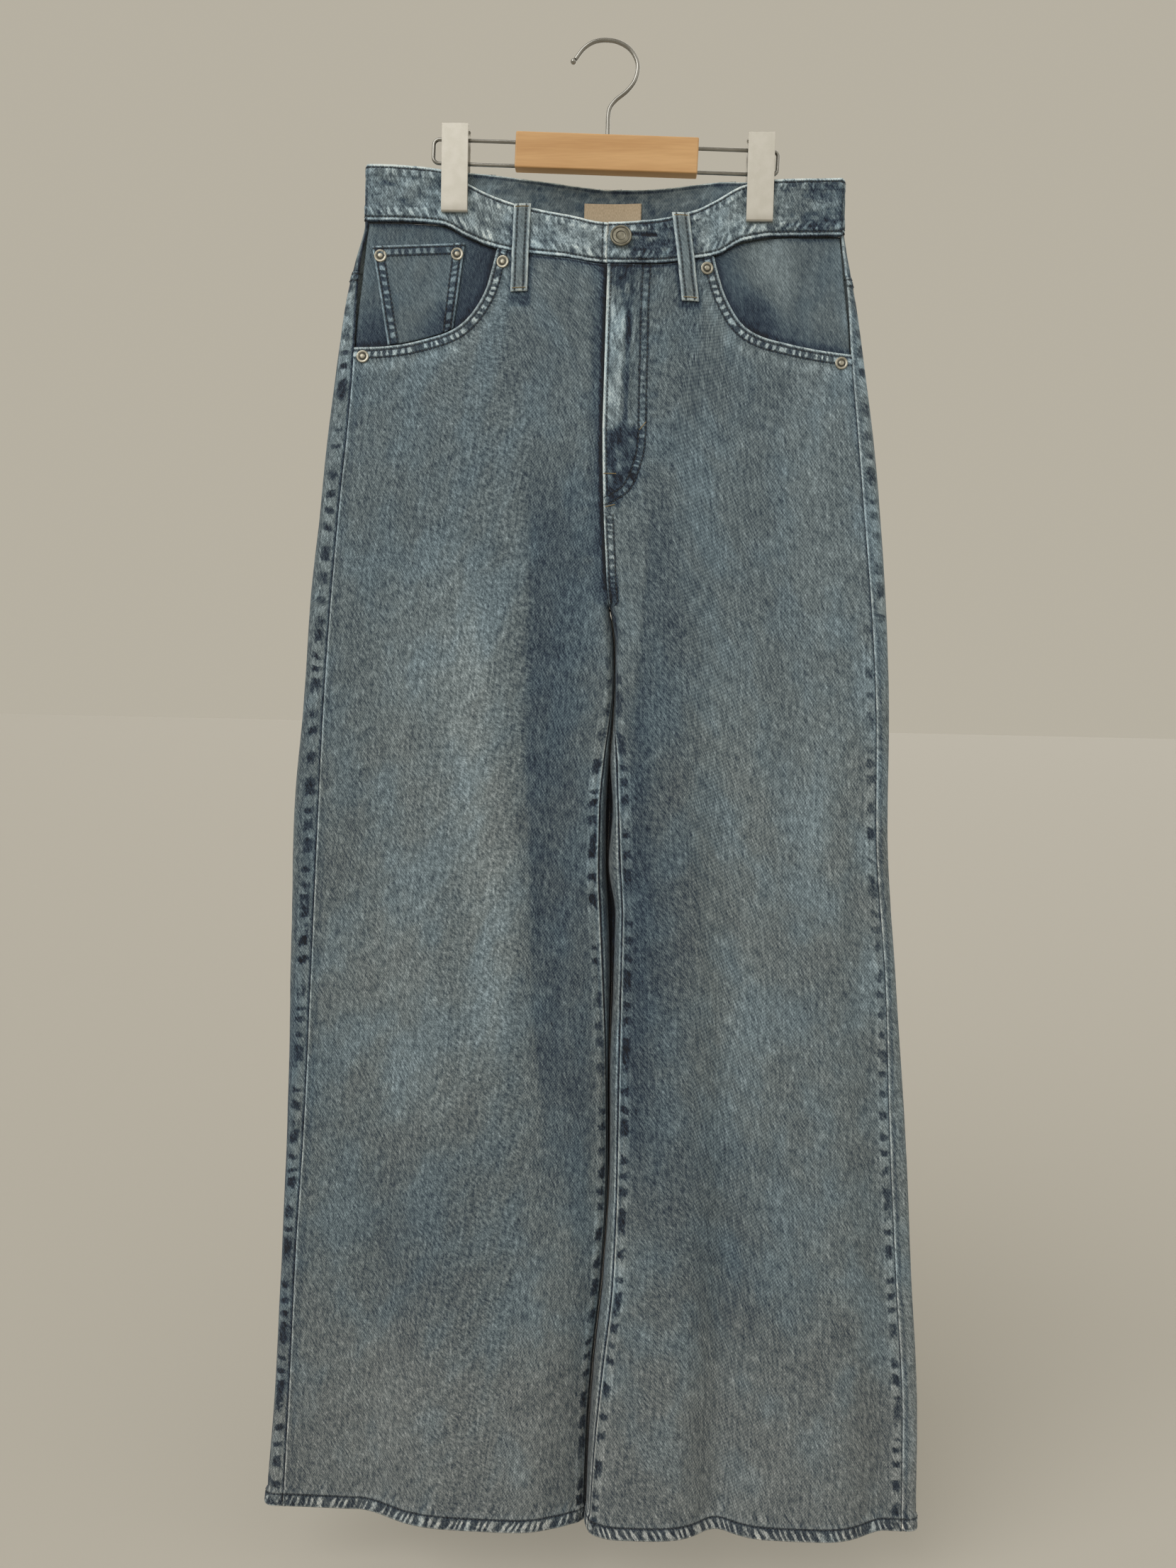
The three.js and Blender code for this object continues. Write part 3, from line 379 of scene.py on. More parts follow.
class Finish:
    """A material: its nodes, made one at a time."""

    def __init__(self, name):
        self.material = bpy.data.materials.new(name)
        self.material.use_nodes = True
        self.tree = self.material.node_tree
        self.shader = self.tree.nodes["Principled BSDF"]

    def node(self, kind, settings=None, values=None, output=0):
        made = self.tree.nodes.new(kind)
        for key, setting in (settings or {}).items():
            if key == "stops":
                self.set_stops(made.color_ramp.elements, setting)
            else:
                setattr(made, key, setting)
        self.fill(made, values or {})
        return Signal(self, made.outputs[output])

    def set_stops(self, elements, stops):
        while len(elements) > 1:
            elements.remove(elements[-1])
        elements[0].position, elements[0].color = stops[0]
        for position, colour in stops[1:]:
            elements.new(position).color = colour

    def fill(self, node, values):
        for key, value in values.items():
            if isinstance(value, Signal):
                self.tree.links.new(value.socket, node.inputs[key])
            else:
                node.inputs[key].default_value = value

    def shade(self, **values):
        self.fill(self.shader, {key.replace("_", " "): value for key, value in values.items()})
        return self.material

    def attribute(self, name):
        return self.node("ShaderNodeAttribute", {"attribute_name": name}, output=2)

    def object_place(self):
        return self.node("ShaderNodeTexCoord", output=3)

    def stretched(self, place, stretch):
        return self.node("ShaderNodeVectorMath", {"operation": "MULTIPLY"}, {0: place, 1: stretch})

    def cloth_place(self, turn=0.0, across=1, along=1):
        """Where a spot is on the flat cloth, in metres, turned and stretched."""
        flat = self.node("ShaderNodeUVMap", {"uv_map": "cloth"})
        turned = self.node("ShaderNodeMapping", {}, {"Vector": flat, "Rotation": (0, 0, turn)})
        return self.stretched(turned, (across, along, 1))

    def noise(self, vector, scale, detail=2.0, rough=0.5):
        return self.node("ShaderNodeTexNoise", {"noise_dimensions": "3D"},
                         {"Vector": vector, "Scale": scale, "Detail": detail, "Roughness": rough})

    def cloth_noise(self, turn, across, along, detail=2.0, rough=0.5):
        """Uneven patches on the cloth: how far they are turned, and how many there are in a metre each way."""
        return self.noise(self.cloth_place(turn, across, along), 1.0, detail, rough)

    def range(self, value, start, end, low=0.0, high=1.0):
        return self.node("ShaderNodeMapRange", {"interpolation_type": "SMOOTHSTEP"},
                         {0: value, 1: start, 2: end, 3: low, 4: high})

    def bump(self, height, strength, distance):
        return self.node("ShaderNodeBump", {}, {"Height": height, "Strength": strength, "Distance": distance})

    def between(self, share, first, second):
        """A colour between two that are given as they are seen."""
        return self.node("ShaderNodeMix", {"data_type": "RGBA"},
                         {0: share, 6: linear(*first), 7: linear(*second)}, output=2)

    def tinted(self, share, colour, tint):
        return self.node("ShaderNodeMix", {"data_type": "RGBA", "blend_type": "MULTIPLY"},
                         {0: share, 6: colour, 7: (*tint, 1)}, output=2)


def linear(*shown):
    """A colour as it is seen, from 0 to 255, as the linear colour that a shader takes."""
    def one(value):
        value = value / 255
        return value / 12.92 if value <= 0.04045 else ((value + 0.055) / 1.055) ** 2.4
    return tuple(min(one(value), 1) for value in shown) + (1,)


# %% [markdown]
# Washed denim is indigo warp over white weft. Every mark on it, from a stitch hole to a worn edge, is a place on one
# scale from deep indigo to cream. So the finish works out one number, the tone, and a ramp turns it into the colour.
# The mesh carries the painted tone and a few distances, and the fine marks are drawn from them: worn edges, rows of
# sewing, and the rungs between two rows, where the seam has puckered and the wash has bleached its tops.

# %% Denim
DENIM_SCALE = (  # tone, colour: from deep indigo to bare weft
    (0.02, (5, 12, 22)), (0.10, (16, 29, 43)), (0.15, (27, 41, 54)), (0.20, (41, 53, 64)), (0.245, (55, 65, 73)),
    (0.29, (67, 77, 82)), (0.34, (79, 88, 91)), (0.385, (92, 100, 101)), (0.43, (103, 111, 111)),
    (0.48, (115, 122, 121)), (0.525, (126, 134, 133)), (0.575, (139, 146, 145)), (0.66, (164, 171, 169)),
    (0.78, (196, 200, 192)), (0.92, (228, 226, 214)),
)
TWILL_PITCH, TWILL_TURN, SLUB_TURN = 0.0016, 0.62, -0.5
WAVE_SPAN = 0.314159  # a band texture of scale 1 repeats after this many metres
COOLER = (1, 1.035, 1.075)  # the scale is shifted a little, because the room's light is warm
INDIGO_TINT, HEM_TINT = (0.82, 0.96, 1.09), (1.12, 0.97, 0.90)
GRAINS = (  # slub, fleck, streak, warp, cloud, patch: turn, patches in a metre across and along, detail, roughness
    (SLUB_TURN, 760, 150, 2.0, 0.6), (SLUB_TURN, 1250, 620, 1.0, 0.5), (SLUB_TURN, 230, 70, 2.0, 0.5),
    (0.05, 640, 42, 2.0, 0.5), (0.1, 24, 15, 3.0, 0.5), (0.3, 80, 55, 2.0, 0.5),
)


def denim_colour(finish, tone):
    stops = [(at, linear(*(value * share for value, share in zip(shown, COOLER)))) for at, shown in DENIM_SCALE]
    return finish.node("ShaderNodeValToRGB", {"stops": stops}, {"Fac": tone})


def twill(finish, turn):
    return finish.node("ShaderNodeTexWave", {"wave_type": "BANDS", "bands_direction": "X"}, {
        "Vector": finish.cloth_place(turn), "Scale": WAVE_SPAN / TWILL_PITCH, "Distortion": 1.2,
        "Detail": 2.0, "Detail Scale": 0.7}, output="Fac")


def rungs(finish, tone):
    """Pale or dark rungs across a seam, from its beat along the seam and its cross distance."""
    beat, cross, ladder = (finish.attribute(name) for name in ("beat", "cross", "ladder"))
    drift, ragged = finish.cloth_noise(0.2, 40, 40), finish.cloth_noise(0.5, 300, 300, 3.0)
    turned = (beat + drift * 1.6) * (2 * math.pi)
    wave = turned.step("SINE", turned) + (ragged - 0.5) * 2.6 + (drift - 0.5) * 3.6
    rung = finish.range(wave, -0.35, 0.85) * finish.range(cross + (ragged - 0.5) * 1.2, 0.35, 1.1, 1.0, 0.0)
    return tone + ladder * (rung - finish.range(cross, 0.85, 1.2, 0.30, 0.0)), rung * ladder


def denim_finish(name, grain=1.0, weave=1.0, deeper=0.0, seams=True):
    finish = Finish(name)
    ridge = twill(finish, TWILL_TURN)
    slub, fleck, streak, warp, cloud, patch = (finish.cloth_noise(*settings) for settings in GRAINS)
    painted = finish.attribute("tone") - deeper
    tone, relief = rungs(finish, painted) if seams else (painted, 0.0)
    for part, weight in ((slub, 0.70 * grain), (fleck, 0.38 * grain), (streak, 0.16 * grain), (warp, 0.30 * grain),
                         (ridge, 0.06 * weave), (cloud, 0.12), (patch, 0.07)):
        tone = tone + (part - 0.5) * weight
    worn = finish.range(finish.attribute("rim"), 0.8, 2.5, 1.0, 0.0) * finish.range(streak, 0.25, 0.6, 0.55, 1.0)
    first, second = finish.attribute("row"), finish.attribute("second_row")
    nearest = first.step("MINIMUM", first.step("ABSOLUTE", first), second.step("ABSOLUTE", second))
    sewn = finish.range(nearest, 0.3, 1.15, 1.0, 0.0)
    tone = tone + worn * 0.28 - sewn * 0.16
    cool = finish.attribute("cool")
    blue_share = finish.range(cloud, 0.42, 0.66, 0.0, 0.5) + finish.range(painted, 0.40, 0.28, 0.0, 0.5) + cool * 0.3
    bluer = finish.tinted(blue_share, denim_colour(finish, tone), INDIGO_TINT)
    warm_share = finish.range(cool + (cloud - 0.5) * 2.4, 0.2, -1.2, 0.0, 0.7)
    warmer = finish.tinted(warm_share, bluer, HEM_TINT)
    height = ridge * (0.3 * weave) + slub * 0.7 + fleck * 0.4 + streak * 0.5 - sewn * 0.9 + relief * 2.0
    return finish.shade(
        Base_Color=warmer, Roughness=finish.range(slub, 0.2, 0.8, 0.92, 0.8),
        Normal=finish.bump(height, 0.5, 0.001), Sheen_Weight=0.08, Sheen_Roughness=0.5)


denim = denim_finish("denim")
band_inside = denim_finish("band_inside", grain=0.5, deeper=0.05, seams=False)
facing_denim = denim_finish("facing_denim", grain=0.62, weave=0.8)
loop_denim = denim_finish("loop_denim", grain=0.6, weave=0.4)


def inner_denim_finish():
    """The inside of the cloth, where the white weft covers most of the indigo."""
    finish = Finish("denim_inside")
    ridge, fleck = twill(finish, -TWILL_TURN), finish.cloth_noise(-TWILL_TURN, 900, 300)
    colour = denim_colour(finish, (ridge - 0.5) * 0.10 + (fleck - 0.5) * 0.35 + 0.50)
    return finish.shade(Base_Color=colour, Roughness=0.9, Normal=finish.bump(ridge + fleck, 0.4, 0.0004))


denim_inside = inner_denim_finish()
print("denim finishes made")

# %% [markdown]
# A piece of cloth starts as a flat grid. Every point of it gets a place on the form, then the cloth is lifted or
# lowered for its seams, puckers and creases, and its tone is painted: lower is deeper indigo. A lap is an edge that
# is folded or laid over another and held by two rows of sewing, so its measures are kept together.

# %% A sheet of cloth
FAR = 40.0  # a distance at which nothing is marked
BASE_TONE, ROW_HALF, NO_RUNGS = 0.40, 1.8, 3.0
COOL_ABOVE, COOL_BELOW = (-620, -330), (-940, -1150)

Lap = namedtuple("Lap", "rows step rise worn pitch")  # rows of sewing, where the lap steps down, its rise and wear
SEAM_LAP = Lap((1.8, 7.2), (9.6, 7.8), 0.5, None, 6.6)
SCOOP_LAP = Lap((2.9, 8.9), (11.2, 9.4), 0.5, (0.8, 1.8), 6.2)
COIN_LAP = Lap((2.4, 8.4), (10.4, 8.8), 0.35, (0.6, 1.6), 6.8)
POCKET_LAP = Lap((2.0, 7.6), (9.4, 7.8), 0.35, (0.6, 1.6), 6.6)
POCKET_TOP_LAP = Lap((2.4, 12.4), (15.5, 13.5), 0.6, (0.6, 1.6), 9.0)


class Sheet:
    """A grid of cloth: its distances from its edges, its lift and what the finish draws its marks from."""

    def __init__(self, name, place, rise, tone=BASE_TONE):
        self.name = name
        self.points, self.ways = laid(place, rise)
        self.x, self.z = np.broadcast_arrays(place.x + 0.0, place.z + 0.0)
        self.front = np.broadcast_to(place.front, self.x.shape)
        rows = np.linalg.norm(np.diff(self.points, axis=0), axis=2)
        columns = np.linalg.norm(np.diff(self.points, axis=1), axis=2)
        self.down = np.vstack((np.zeros((1, rows.shape[1])), np.cumsum(rows, axis=0)))
        self.across = np.hstack((np.zeros((columns.shape[0], 1)), np.cumsum(columns, axis=1)))
        self.up, self.back_across = self.down[-1:] - self.down, self.across[:, -1:] - self.across
        shape = self.x.shape
        self.tone, self.cross = np.full(shape, tone), np.full(shape, NO_RUNGS)
        self.lift, self.shift, self.beat, self.ladder = (np.zeros(shape) for _ in range(4))
        self.rim, self.row, self.second_row = (np.full(shape, FAR) for _ in range(3))
        self.cool = ease(*COOL_ABOVE, self.z) - ease(*COOL_BELOW, self.z)

    def mark(self, strength, tone, lift):
        """One mark in both: a change of tone, and a height in millimetres."""
        self.tone += tone * strength
        self.lift += lift * strength

    def worn_edge(self, far, drop, reach):
        """A folded edge: round, and worn pale."""
        self.rim = np.minimum(self.rim, far)
        self.lift -= drop * np.clip(1 - far / reach, 0, 1) ** 2

    def sewn(self, far, depth=0.25):
        """A row of sewing pulls the cloth down along it. far is below 0 on one side of the row."""
        self.row = np.where(np.abs(far) < np.abs(self.row), far, self.row)
        self.lift -= depth * bell(far / ROW_HALF)

    def sewn_twice(self, far, along, inner, outer, pitch, strength):
        """Two rows along an edge, with puckers like the rungs of a ladder between them."""
        self.sewn(far - inner)
        other = far - outer
        self.second_row = np.where(np.abs(other) < np.abs(self.second_row), other, self.second_row)
        self.rungs(far, along, inner, outer, pitch, strength)

    def lapped(self, far, along, lap, strength):
        """A lap's thickness, its worn fold and its two rows."""
        self.lift += lap.rise * ease(*lap.step, far)
        if lap.worn:
            self.worn_edge(far, *lap.worn)
        self.sewn_twice(far, along, *lap.rows, lap.pitch, strength)

    def rungs(self, far, along, inner, outer, pitch, strength):
        """Pale rungs where the strength is above 0, dark ones where it is below."""
        middle, half = (inner + outer) / 2, (outer - inner) / 2
        cross = np.minimum(np.abs(far - middle) / half, NO_RUNGS)
        here = cross < self.cross
        wander = 0.22 * np.sin(along / pitch * 1.9 + pitch) + 0.30 * np.sin(along / pitch * 0.83 + inner)
        self.cross = np.where(here, cross, self.cross)
        self.beat = np.where(here, along / pitch + wander, self.beat)
        self.ladder = np.where(here, strength, self.ladder)
        self.lift += 0.25 * ease(1.3, 0.7, cross)

    def puckers(self, far, along, middle, reach, pitch, seed, height, tone):
        """Short ridges across a seam, pale on their tops and dark between them."""
        self.mark(bell((far - middle) / reach) * uneven(along, pitch, seed), tone, height)


print("rows of sewing along a pocket's edge, mm:", SCOOP_LAP.rows)

# %% [markdown]
# The shaped grid becomes a mesh. Its distances along the grid become the cloth's own map, so that the weave keeps its
# scale and leans the same way on every piece. The painted tone and distances go along on its points, and Solidify
# gives the cloth its thickness on the inside. Every piece is fixed to the root and stands in for its solid.

# %% From a sheet to a piece
CARRIED = ("tone", "rim", "row", "second_row", "beat", "cross", "ladder", "cool")


def mesh_of(bm, name, finishes=()):
    mesh = bpy.data.meshes.new(name)
    bm.to_mesh(mesh)
    bm.free()
    for finish in finishes:
        mesh.materials.append(finish)
    return mesh


def put(mesh, slot, *nodes):
    """The mesh as a piece on the root, in place of the named solids."""
    piece = bpy.data.objects.new(mesh.name, mesh)
    bpy.context.scene.collection.objects.link(piece)
    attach(piece, "root")
    if nodes:
        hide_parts(*nodes)
    return piece


def cloth_grid(sheet, points):
    """The grid at its points, with its map and its faces looking out, and the row and column of each point."""
    rows, columns = sheet.x.shape
    bm = bmesh.new()
    bmesh.ops.create_grid(bm, x_segments=columns - 1, y_segments=rows - 1, size=0.5)
    at = [(round((0.5 - v.co.y) * (rows - 1)), round((v.co.x + 0.5) * (columns - 1))) for v in bm.verts]
    for v, (j, i) in zip(bm.verts, at):
        v.co = points[j, i] * MM
    flat, place_of = bm.loops.layers.uv.new("cloth"), dict(zip(bm.verts, at))
    j, i = rows // 2, columns // 2
    aside, upward = points[j, i + 1] - points[j, i], points[j, i] - points[j + 1, i]
    centre, outward = Vector(points[j, i] * MM), sheet.ways[j, i]
    hand = 1 if np.cross(aside, upward) @ outward > 0 else -1
    for face in bm.faces:
        face.smooth = True
        for loop in face.loops:
            j, i = place_of[loop.vert]
            loop[flat].uv = (hand * sheet.across[j, i] * MM, -sheet.down[j, i] * MM)
    bm.normal_update()
    middle = min(bm.faces, key=lambda f: (f.calc_center_median() - centre).length)
    if middle.normal.dot(Vector(outward)) < 0:
        bmesh.ops.reverse_faces(bm, faces=bm.faces)
    return bm, at


def make(sheet, thickness, finishes, node, slot):
    points = sheet.points + sheet.ways * sheet.lift[..., None]
    points[..., 0] += sheet.shift
    bm, at = cloth_grid(sheet, points)
    mesh = mesh_of(bm, sheet.name, finishes)
    row_of, column_of = np.array(at).T
    for key in CARRIED:
        attribute = mesh.attributes.new(key, "FLOAT", "POINT")
        attribute.data.foreach_set("value", getattr(sheet, key)[row_of, column_of].astype(np.float32))
    sheet.piece, sheet.area = put(mesh, slot, node), sheet_area(points)
    wall = sheet.piece.modifiers.new("thickness", "SOLIDIFY")
    wall.thickness, wall.offset, wall.use_even_offset = thickness * MM, -1, False
    wall.material_offset = 1 if len(finishes) > 1 else 0
    print(sheet.name, f"{sheet.across.max():.0f} by {sheet.down.max():.0f} mm, {sheet.area:.4f} square metres")
    return sheet


def sheet_area(points):
    a, b, c, d = points[:-1, :-1], points[:-1, 1:], points[1:, 1:], points[1:, :-1]
    crossed = np.cross(c - a, d - b)
    return float(np.linalg.norm(crossed, axis=2).sum() / 2 * MM * MM)


def finer(counts):
    """Shares from 0 to 1 in stretches: (end share, steps)."""
    rows, start = [0.0], 0.0
    for end, steps in counts:
        rows += list(np.linspace(start, end, steps + 1)[1:])
        start = end
    return np.array(rows)


print("the mesh carries", *CARRIED)

# %% [markdown]
# The wash leaves long soft streaks, listed here as a line from top to bottom with a width, a tone and a height. Three
# folds are listed as steps, whose left and right sides fade differently, and short creases at the hips and knees as
# whiskers. Slow uneven waves go over everything.

# %% Streaks and creases
STREAKS = (  # face, top x, top z, bottom x, bottom z, half width, tone, lift
    ("front", -112, -350, -150, -900, 70, 0.045, 0.0), ("front", -150, -420, -196, -820, 40, 0.02, 0.3),
    ("front", -46, -560, -58, -860, 18, -0.035, 0.4), ("front", -120, -860, -120, -1060, 130, -0.03, -0.3),
    ("front", -150, -1040, -160, -1260, 90, 0.02, 0.0), ("front", -72, -300, -60, -520, 10, 0.02, 0.4),
    ("front", 112, -460, 150, -960, 52, 0.035, 0.0), ("front", 180, -560, 200, -1000, 34, 0.02, 0.2),
    ("front", 54, -640, 44, -900, 26, -0.03, 0.0), ("front", 120, -850, 130, -1050, 100, -0.035, -0.3),
    ("front", 200, -300, 228, -620, 14, 0.03, 0.3), ("front", -192, -300, -216, -640, 12, 0.02, 0.3),
    ("front", 150, -1030, 160, -1260, 90, 0.015, 0.0), ("front", -30, -980, -40, -1260, 22, 0.02, 0.5),
    ("front", -120, -200, -120, -330, 60, 0.01, 0.0), ("front", 70, -190, 62, -330, 20, -0.02, -0.3),
    ("front", -96, -430, -74, -820, 38, 0.08, 0.0), ("front", 30, -490, 38, -860, 22, -0.08, 0.0),
    ("front", 0, -560, 4, -1180, 16, -0.045, 0.0), ("front", 168, -215, 188, -700, 42, 0.045, 0.0),
    ("front", -226, -520, -258, -1190, 14, -0.10, 0.0), ("front", 212, -560, 228, -780, 14, 0.045, 0.0),
    ("front", -199, -185, -204, -240, 9, 0.10, 0.0),
    ("back", -120, -420, -140, -1100, 60, 0.035, 0.0), ("back", 120, -420, 150, -1100, 60, 0.035, 0.0),
    ("back", -50, -400, -60, -1100, 24, -0.05, -0.5), ("back", 66, -420, 60, -1060, 26, -0.05, -0.5),
    ("back", -112, -440, -132, -900, 10, 0.02, 0.6), ("back", 132, -460, 138, -940, 10, 0.02, 0.6),
)
STEPS = (  # face, top z, bottom z, left x above and below, right x above and below, soft left, soft right, tone, lift
    ("front", -335, -930, -58, -34, -6, -2, 5.0, 22, -0.09, -0.5),
    ("front", -352, -640, 8, 14, 38.5, 38.5, 10, 2.2, 0.03, 0.4),
    ("front", -352, -1010, 38.5, 30, 76, 96, 4.5, 44, -0.06, -0.4),
)
WHISKERS = (  # face, from x, z, to x, z, half width, tone, lift
    ("front", -165, -362, -75, -396, 12, -0.03, -0.3), ("front", -150, -262, -60, -292, 13, 0.021, 0.4),
    ("front", 66, -322, 150, -300, 12, 0.027, 0.4), ("front", 60, -350, 160, -338, 11, 0.024, 0.3),
    ("front", -60, -470, -20, -476, 10, -0.03, -0.3), ("front", -56, -560, -16, -580, 10, -0.03, -0.3),
    ("back", -150, -420, -40, -452, 10, 0.06, 0.8), ("back", -160, -442, -60, -470, 9, -0.045, -0.6),
    ("back", 40, -446, 156, -420, 10, 0.06, 0.8), ("back", 52, -470, 160, -446, 9, -0.045, -0.6),
)
SAG = 3  # how far a crease hangs down in its middle


def wash(sheet):
    """Long streaks, whiskers and slow uneven waves of the hung cloth."""
    face = np.where(sheet.front, "front", "back")
    for where, x0, z0, x1, z1, half, tone, lift in STREAKS:
        share = (sheet.z - z0) / (z1 - z0)
        strength = bell((sheet.x - mix(x0, x1, share) - 3 * np.sin(sheet.z / 61)) / half)
        sheet.mark(strength * ease(-0.12, 0.18, share) * ease(1.12, 0.8, share) * (face == where), tone, lift)
    for where, z0, z1, left0, left1, right0, right1, soft_left, soft_right, tone, lift in STEPS:
        share = (sheet.z - z0) / (z1 - z0)
        wander = 1.5 * np.sin(sheet.z / 37) + 2.2 * np.sin(sheet.z / 83 + z0 / 50)
        from_left = sheet.x - mix(left0, left1, share) - wander
        from_right = mix(right0, right1, share) + wander - sheet.x
        strength = ease(-soft_left, soft_left, from_left) * ease(-soft_right, soft_right, from_right)
        sheet.mark(strength * ease(-0.06, 0.10, share) * ease(1.06, 0.75, share) * (face == where), tone, lift)
    for where, x0, z0, x1, z1, half, tone, lift in WHISKERS:
        sagging = smooth_line(((x0, z0), ((x0 + x1) / 2, (z0 + z1) / 2 - SAG), (x1, z1)))
        far, along = from_line(sagging, sheet.x, sheet.z)
        length = np.hypot(x1 - x0, z1 - z0)
        strength = bell(far / half) * ease(-0.1 * length, 0.3 * length, along) * (face == where)
        sheet.mark(strength, tone, lift)
    slow = mottle(sheet.x, sheet.z, 46, 120, 4) - 0.5
    small = mottle(sheet.x, sheet.z, 17, 34, 9) - 0.5
    away = ease(0, 30, np.minimum(sheet.across, sheet.back_across))
    sheet.lift += (1.5 * slow + 0.6 * small) * away
    sheet.tone += 0.05 * slow + 0.03 * small


print(len(STREAKS), "streaks,", len(STEPS), "folds and", len(WHISKERS), "creases")

# %% [markdown]
# The hem is turned up twice and sewn near its top, which makes a band a little proud of the leg. The feed of the
# machine drags the turned cloth sideways, and after washing that shows as slanted pale ridges: roping.

# %% Hem
ROPE_PITCH, ROPE_SLANT, HEM_ROW = 6.6, 0.4, 10.4


def hem(sheet, seed):
    above = sheet.z - HEM_Z
    sheet.lift += (HEM_RISE - 0.1) * ease(HEM_HEIGHT + 2.2, HEM_HEIGHT - 0.3, above)
    slant = sheet.across - ROPE_SLANT * above
    sheet.rungs(above, slant + 3 * seed, -0.6, HEM_ROW + 0.4, ROPE_PITCH, 0.42)
    sheet.tone -= 0.05 * ease(HEM_ROW + 2, HEM_ROW, above)
    sheet.sewn(above - HEM_ROW, 0.3)
    over = bell((above - HEM_HEIGHT - 5) / 9)
    fan = uneven(sheet.across - 0.5 * above, 6.6, seed + 1.7)
    sheet.tone += over * (0.12 * fan - 0.01)
    sheet.lift += 0.45 * over * fan
    sheet.worn_edge(above + 0.3, 0.5, 1.6)


print("ropes across a metre of hem:", round(1 / (ROPE_PITCH * MM)))

# %% [markdown]
# The front of each leg hangs from the waistband and from the edge of the pocket. Its first columns start along the
# pocket's edge and the rest along the band, and all of them run down to the hem. The fly's curved double row is drawn
# here too, because its relief and its stitches both follow it.

# %% Where the fronts lie
CAD_COLUMNS, SCOOP_COLUMNS = 14, 9
PATCH_END = -300
SPREAD_FROM, SPREAD_TO = 0.2, 0.913
FRONT_COLUMNS, PATCH_ROWS, LEG_ROWS = 128, 70, 196
FRONT_TONE = 0.405
FLY_STITCH = ((39, -176), (38, -199), (38, -231), (38, -275), (38, -308), (35, -327), (27, -347), (14, -357),
              (7, -360))
FLY_ROW_GAP = 6.0
fly_line = smooth_line(FLY_STITCH)
fly_inner_line = moved_line(fly_line, FLY_ROW_GAP)


def spread(share):
    turned = np.cos(np.pi * mix(SPREAD_FROM, SPREAD_TO, share))
    start, end = np.cos(np.pi * SPREAD_FROM), np.cos(np.pi * SPREAD_TO)
    return (start - turned) / (start - end)


def front_place(leg, share, down):
    """share runs from the side seam to the middle; down is 0 at the top, 1 at the patch's end and 2 at the hem."""
    line = SCOOP_LINE[leg.name]
    pocket_share = SCOOP_COLUMNS / CAD_COLUMNS
    pocket_x, pocket_z = at_share(line, np.clip(share / pocket_share, 0, 1))
    band_share = np.clip((share - pocket_share) / (1 - pocket_share), 0, 1)
    band_x = mix(line[-1, 0], fly(-174.0) + leg.sign * SEAM_GAP, band_share)
    under_band = share > pocket_share
    top_x = np.where(under_band, band_x, pocket_x)
    top_z = np.where(under_band, front_bottom(band_x) - BAND_GAP, pocket_z)
    patch_share = np.minimum(down, 1)
    z = np.where(down <= 1, mix(top_z, PATCH_END, patch_share), mix(PATCH_END, HEM_Z, np.maximum(down - 1, 0)))
    outer = leg.seam(z) - leg.sign * SEAM_GAP
    middle = np.where(z < CROTCH_Z, leg.inseam(z), fly(z)) + leg.sign * SEAM_GAP
    row_x = mix(outer, middle, spread(share))
    end_x = mix(leg.seam(PATCH_END + 0.0), fly(PATCH_END + 0.0), spread(share))
    patch_x = mix(top_x, end_x, patch_share)
    x = np.where(down <= 1, patch_x, row_x)
    x = np.where((down <= 1) & (share == 0), outer, x)
    return Place(leg.sign, True, x, z)


print("curved row of the fly:", round(lengths(fly_line)[-1]), "mm")

# %% [markdown]
# The fly is the liveliest place of the front. Its edge strip is folded cloth over the zip, crumpled and worn pale at
# mid height. Beside it run a few hard folds, then the curved double row of sewing, and below the curve the centre
# seam goes on down to the crotch.

# %% The fly
FLY_END = (-366, -358)
FLY_EDGE_ROW, BELOW_FLY_ROWS = 3.2, (2.0, 7.6)


def fly_strip(sheet, upper):
    """The edge of the fly: a worn fold, a pale crumpled strip and cross folds at its lower end."""
    x, z, far = sheet.x, sheet.z, sheet.back_across
    sheet.lift += FLY_RISE * upper * ease(26, 20, x)
    sheet.worn_edge(np.where(z > CROTCH_Z, far, FAR), 0.5, 1.6)
    sheet.tone += 0.20 * upper * ease(2.6, 1.0, far)
    sheet.sewn(np.where((z > -352) | (far > 5), far - FLY_EDGE_ROW, FAR), 0.2)
    crumple = mottle(x + 0.2 * z, z, 4.5, 13, 21) - 0.5
    strip = ease(17.5, 13, far) * ease(1.5, 3.5, far) * upper
    pale = ease(-184, -204, z) * ease(-306, -290, z)
    sheet.tone += strip * (pale * 0.19 + crumple * 0.50)
    sheet.lift += strip * crumple * 0.7
    sheet.tone -= strip * (1 - pale) * 0.09
    low = ease(-290, -306, z) * ease(-350, -340, z) * ease(36, 30, x) * ease(3, 5, far)
    across_fold = mottle(x, z + 0.3 * x, 10, 4.5, 33) - 0.5
    sheet.tone += low * (0.60 * across_fold - 0.11)
    sheet.lift += low * across_fold * 0.9


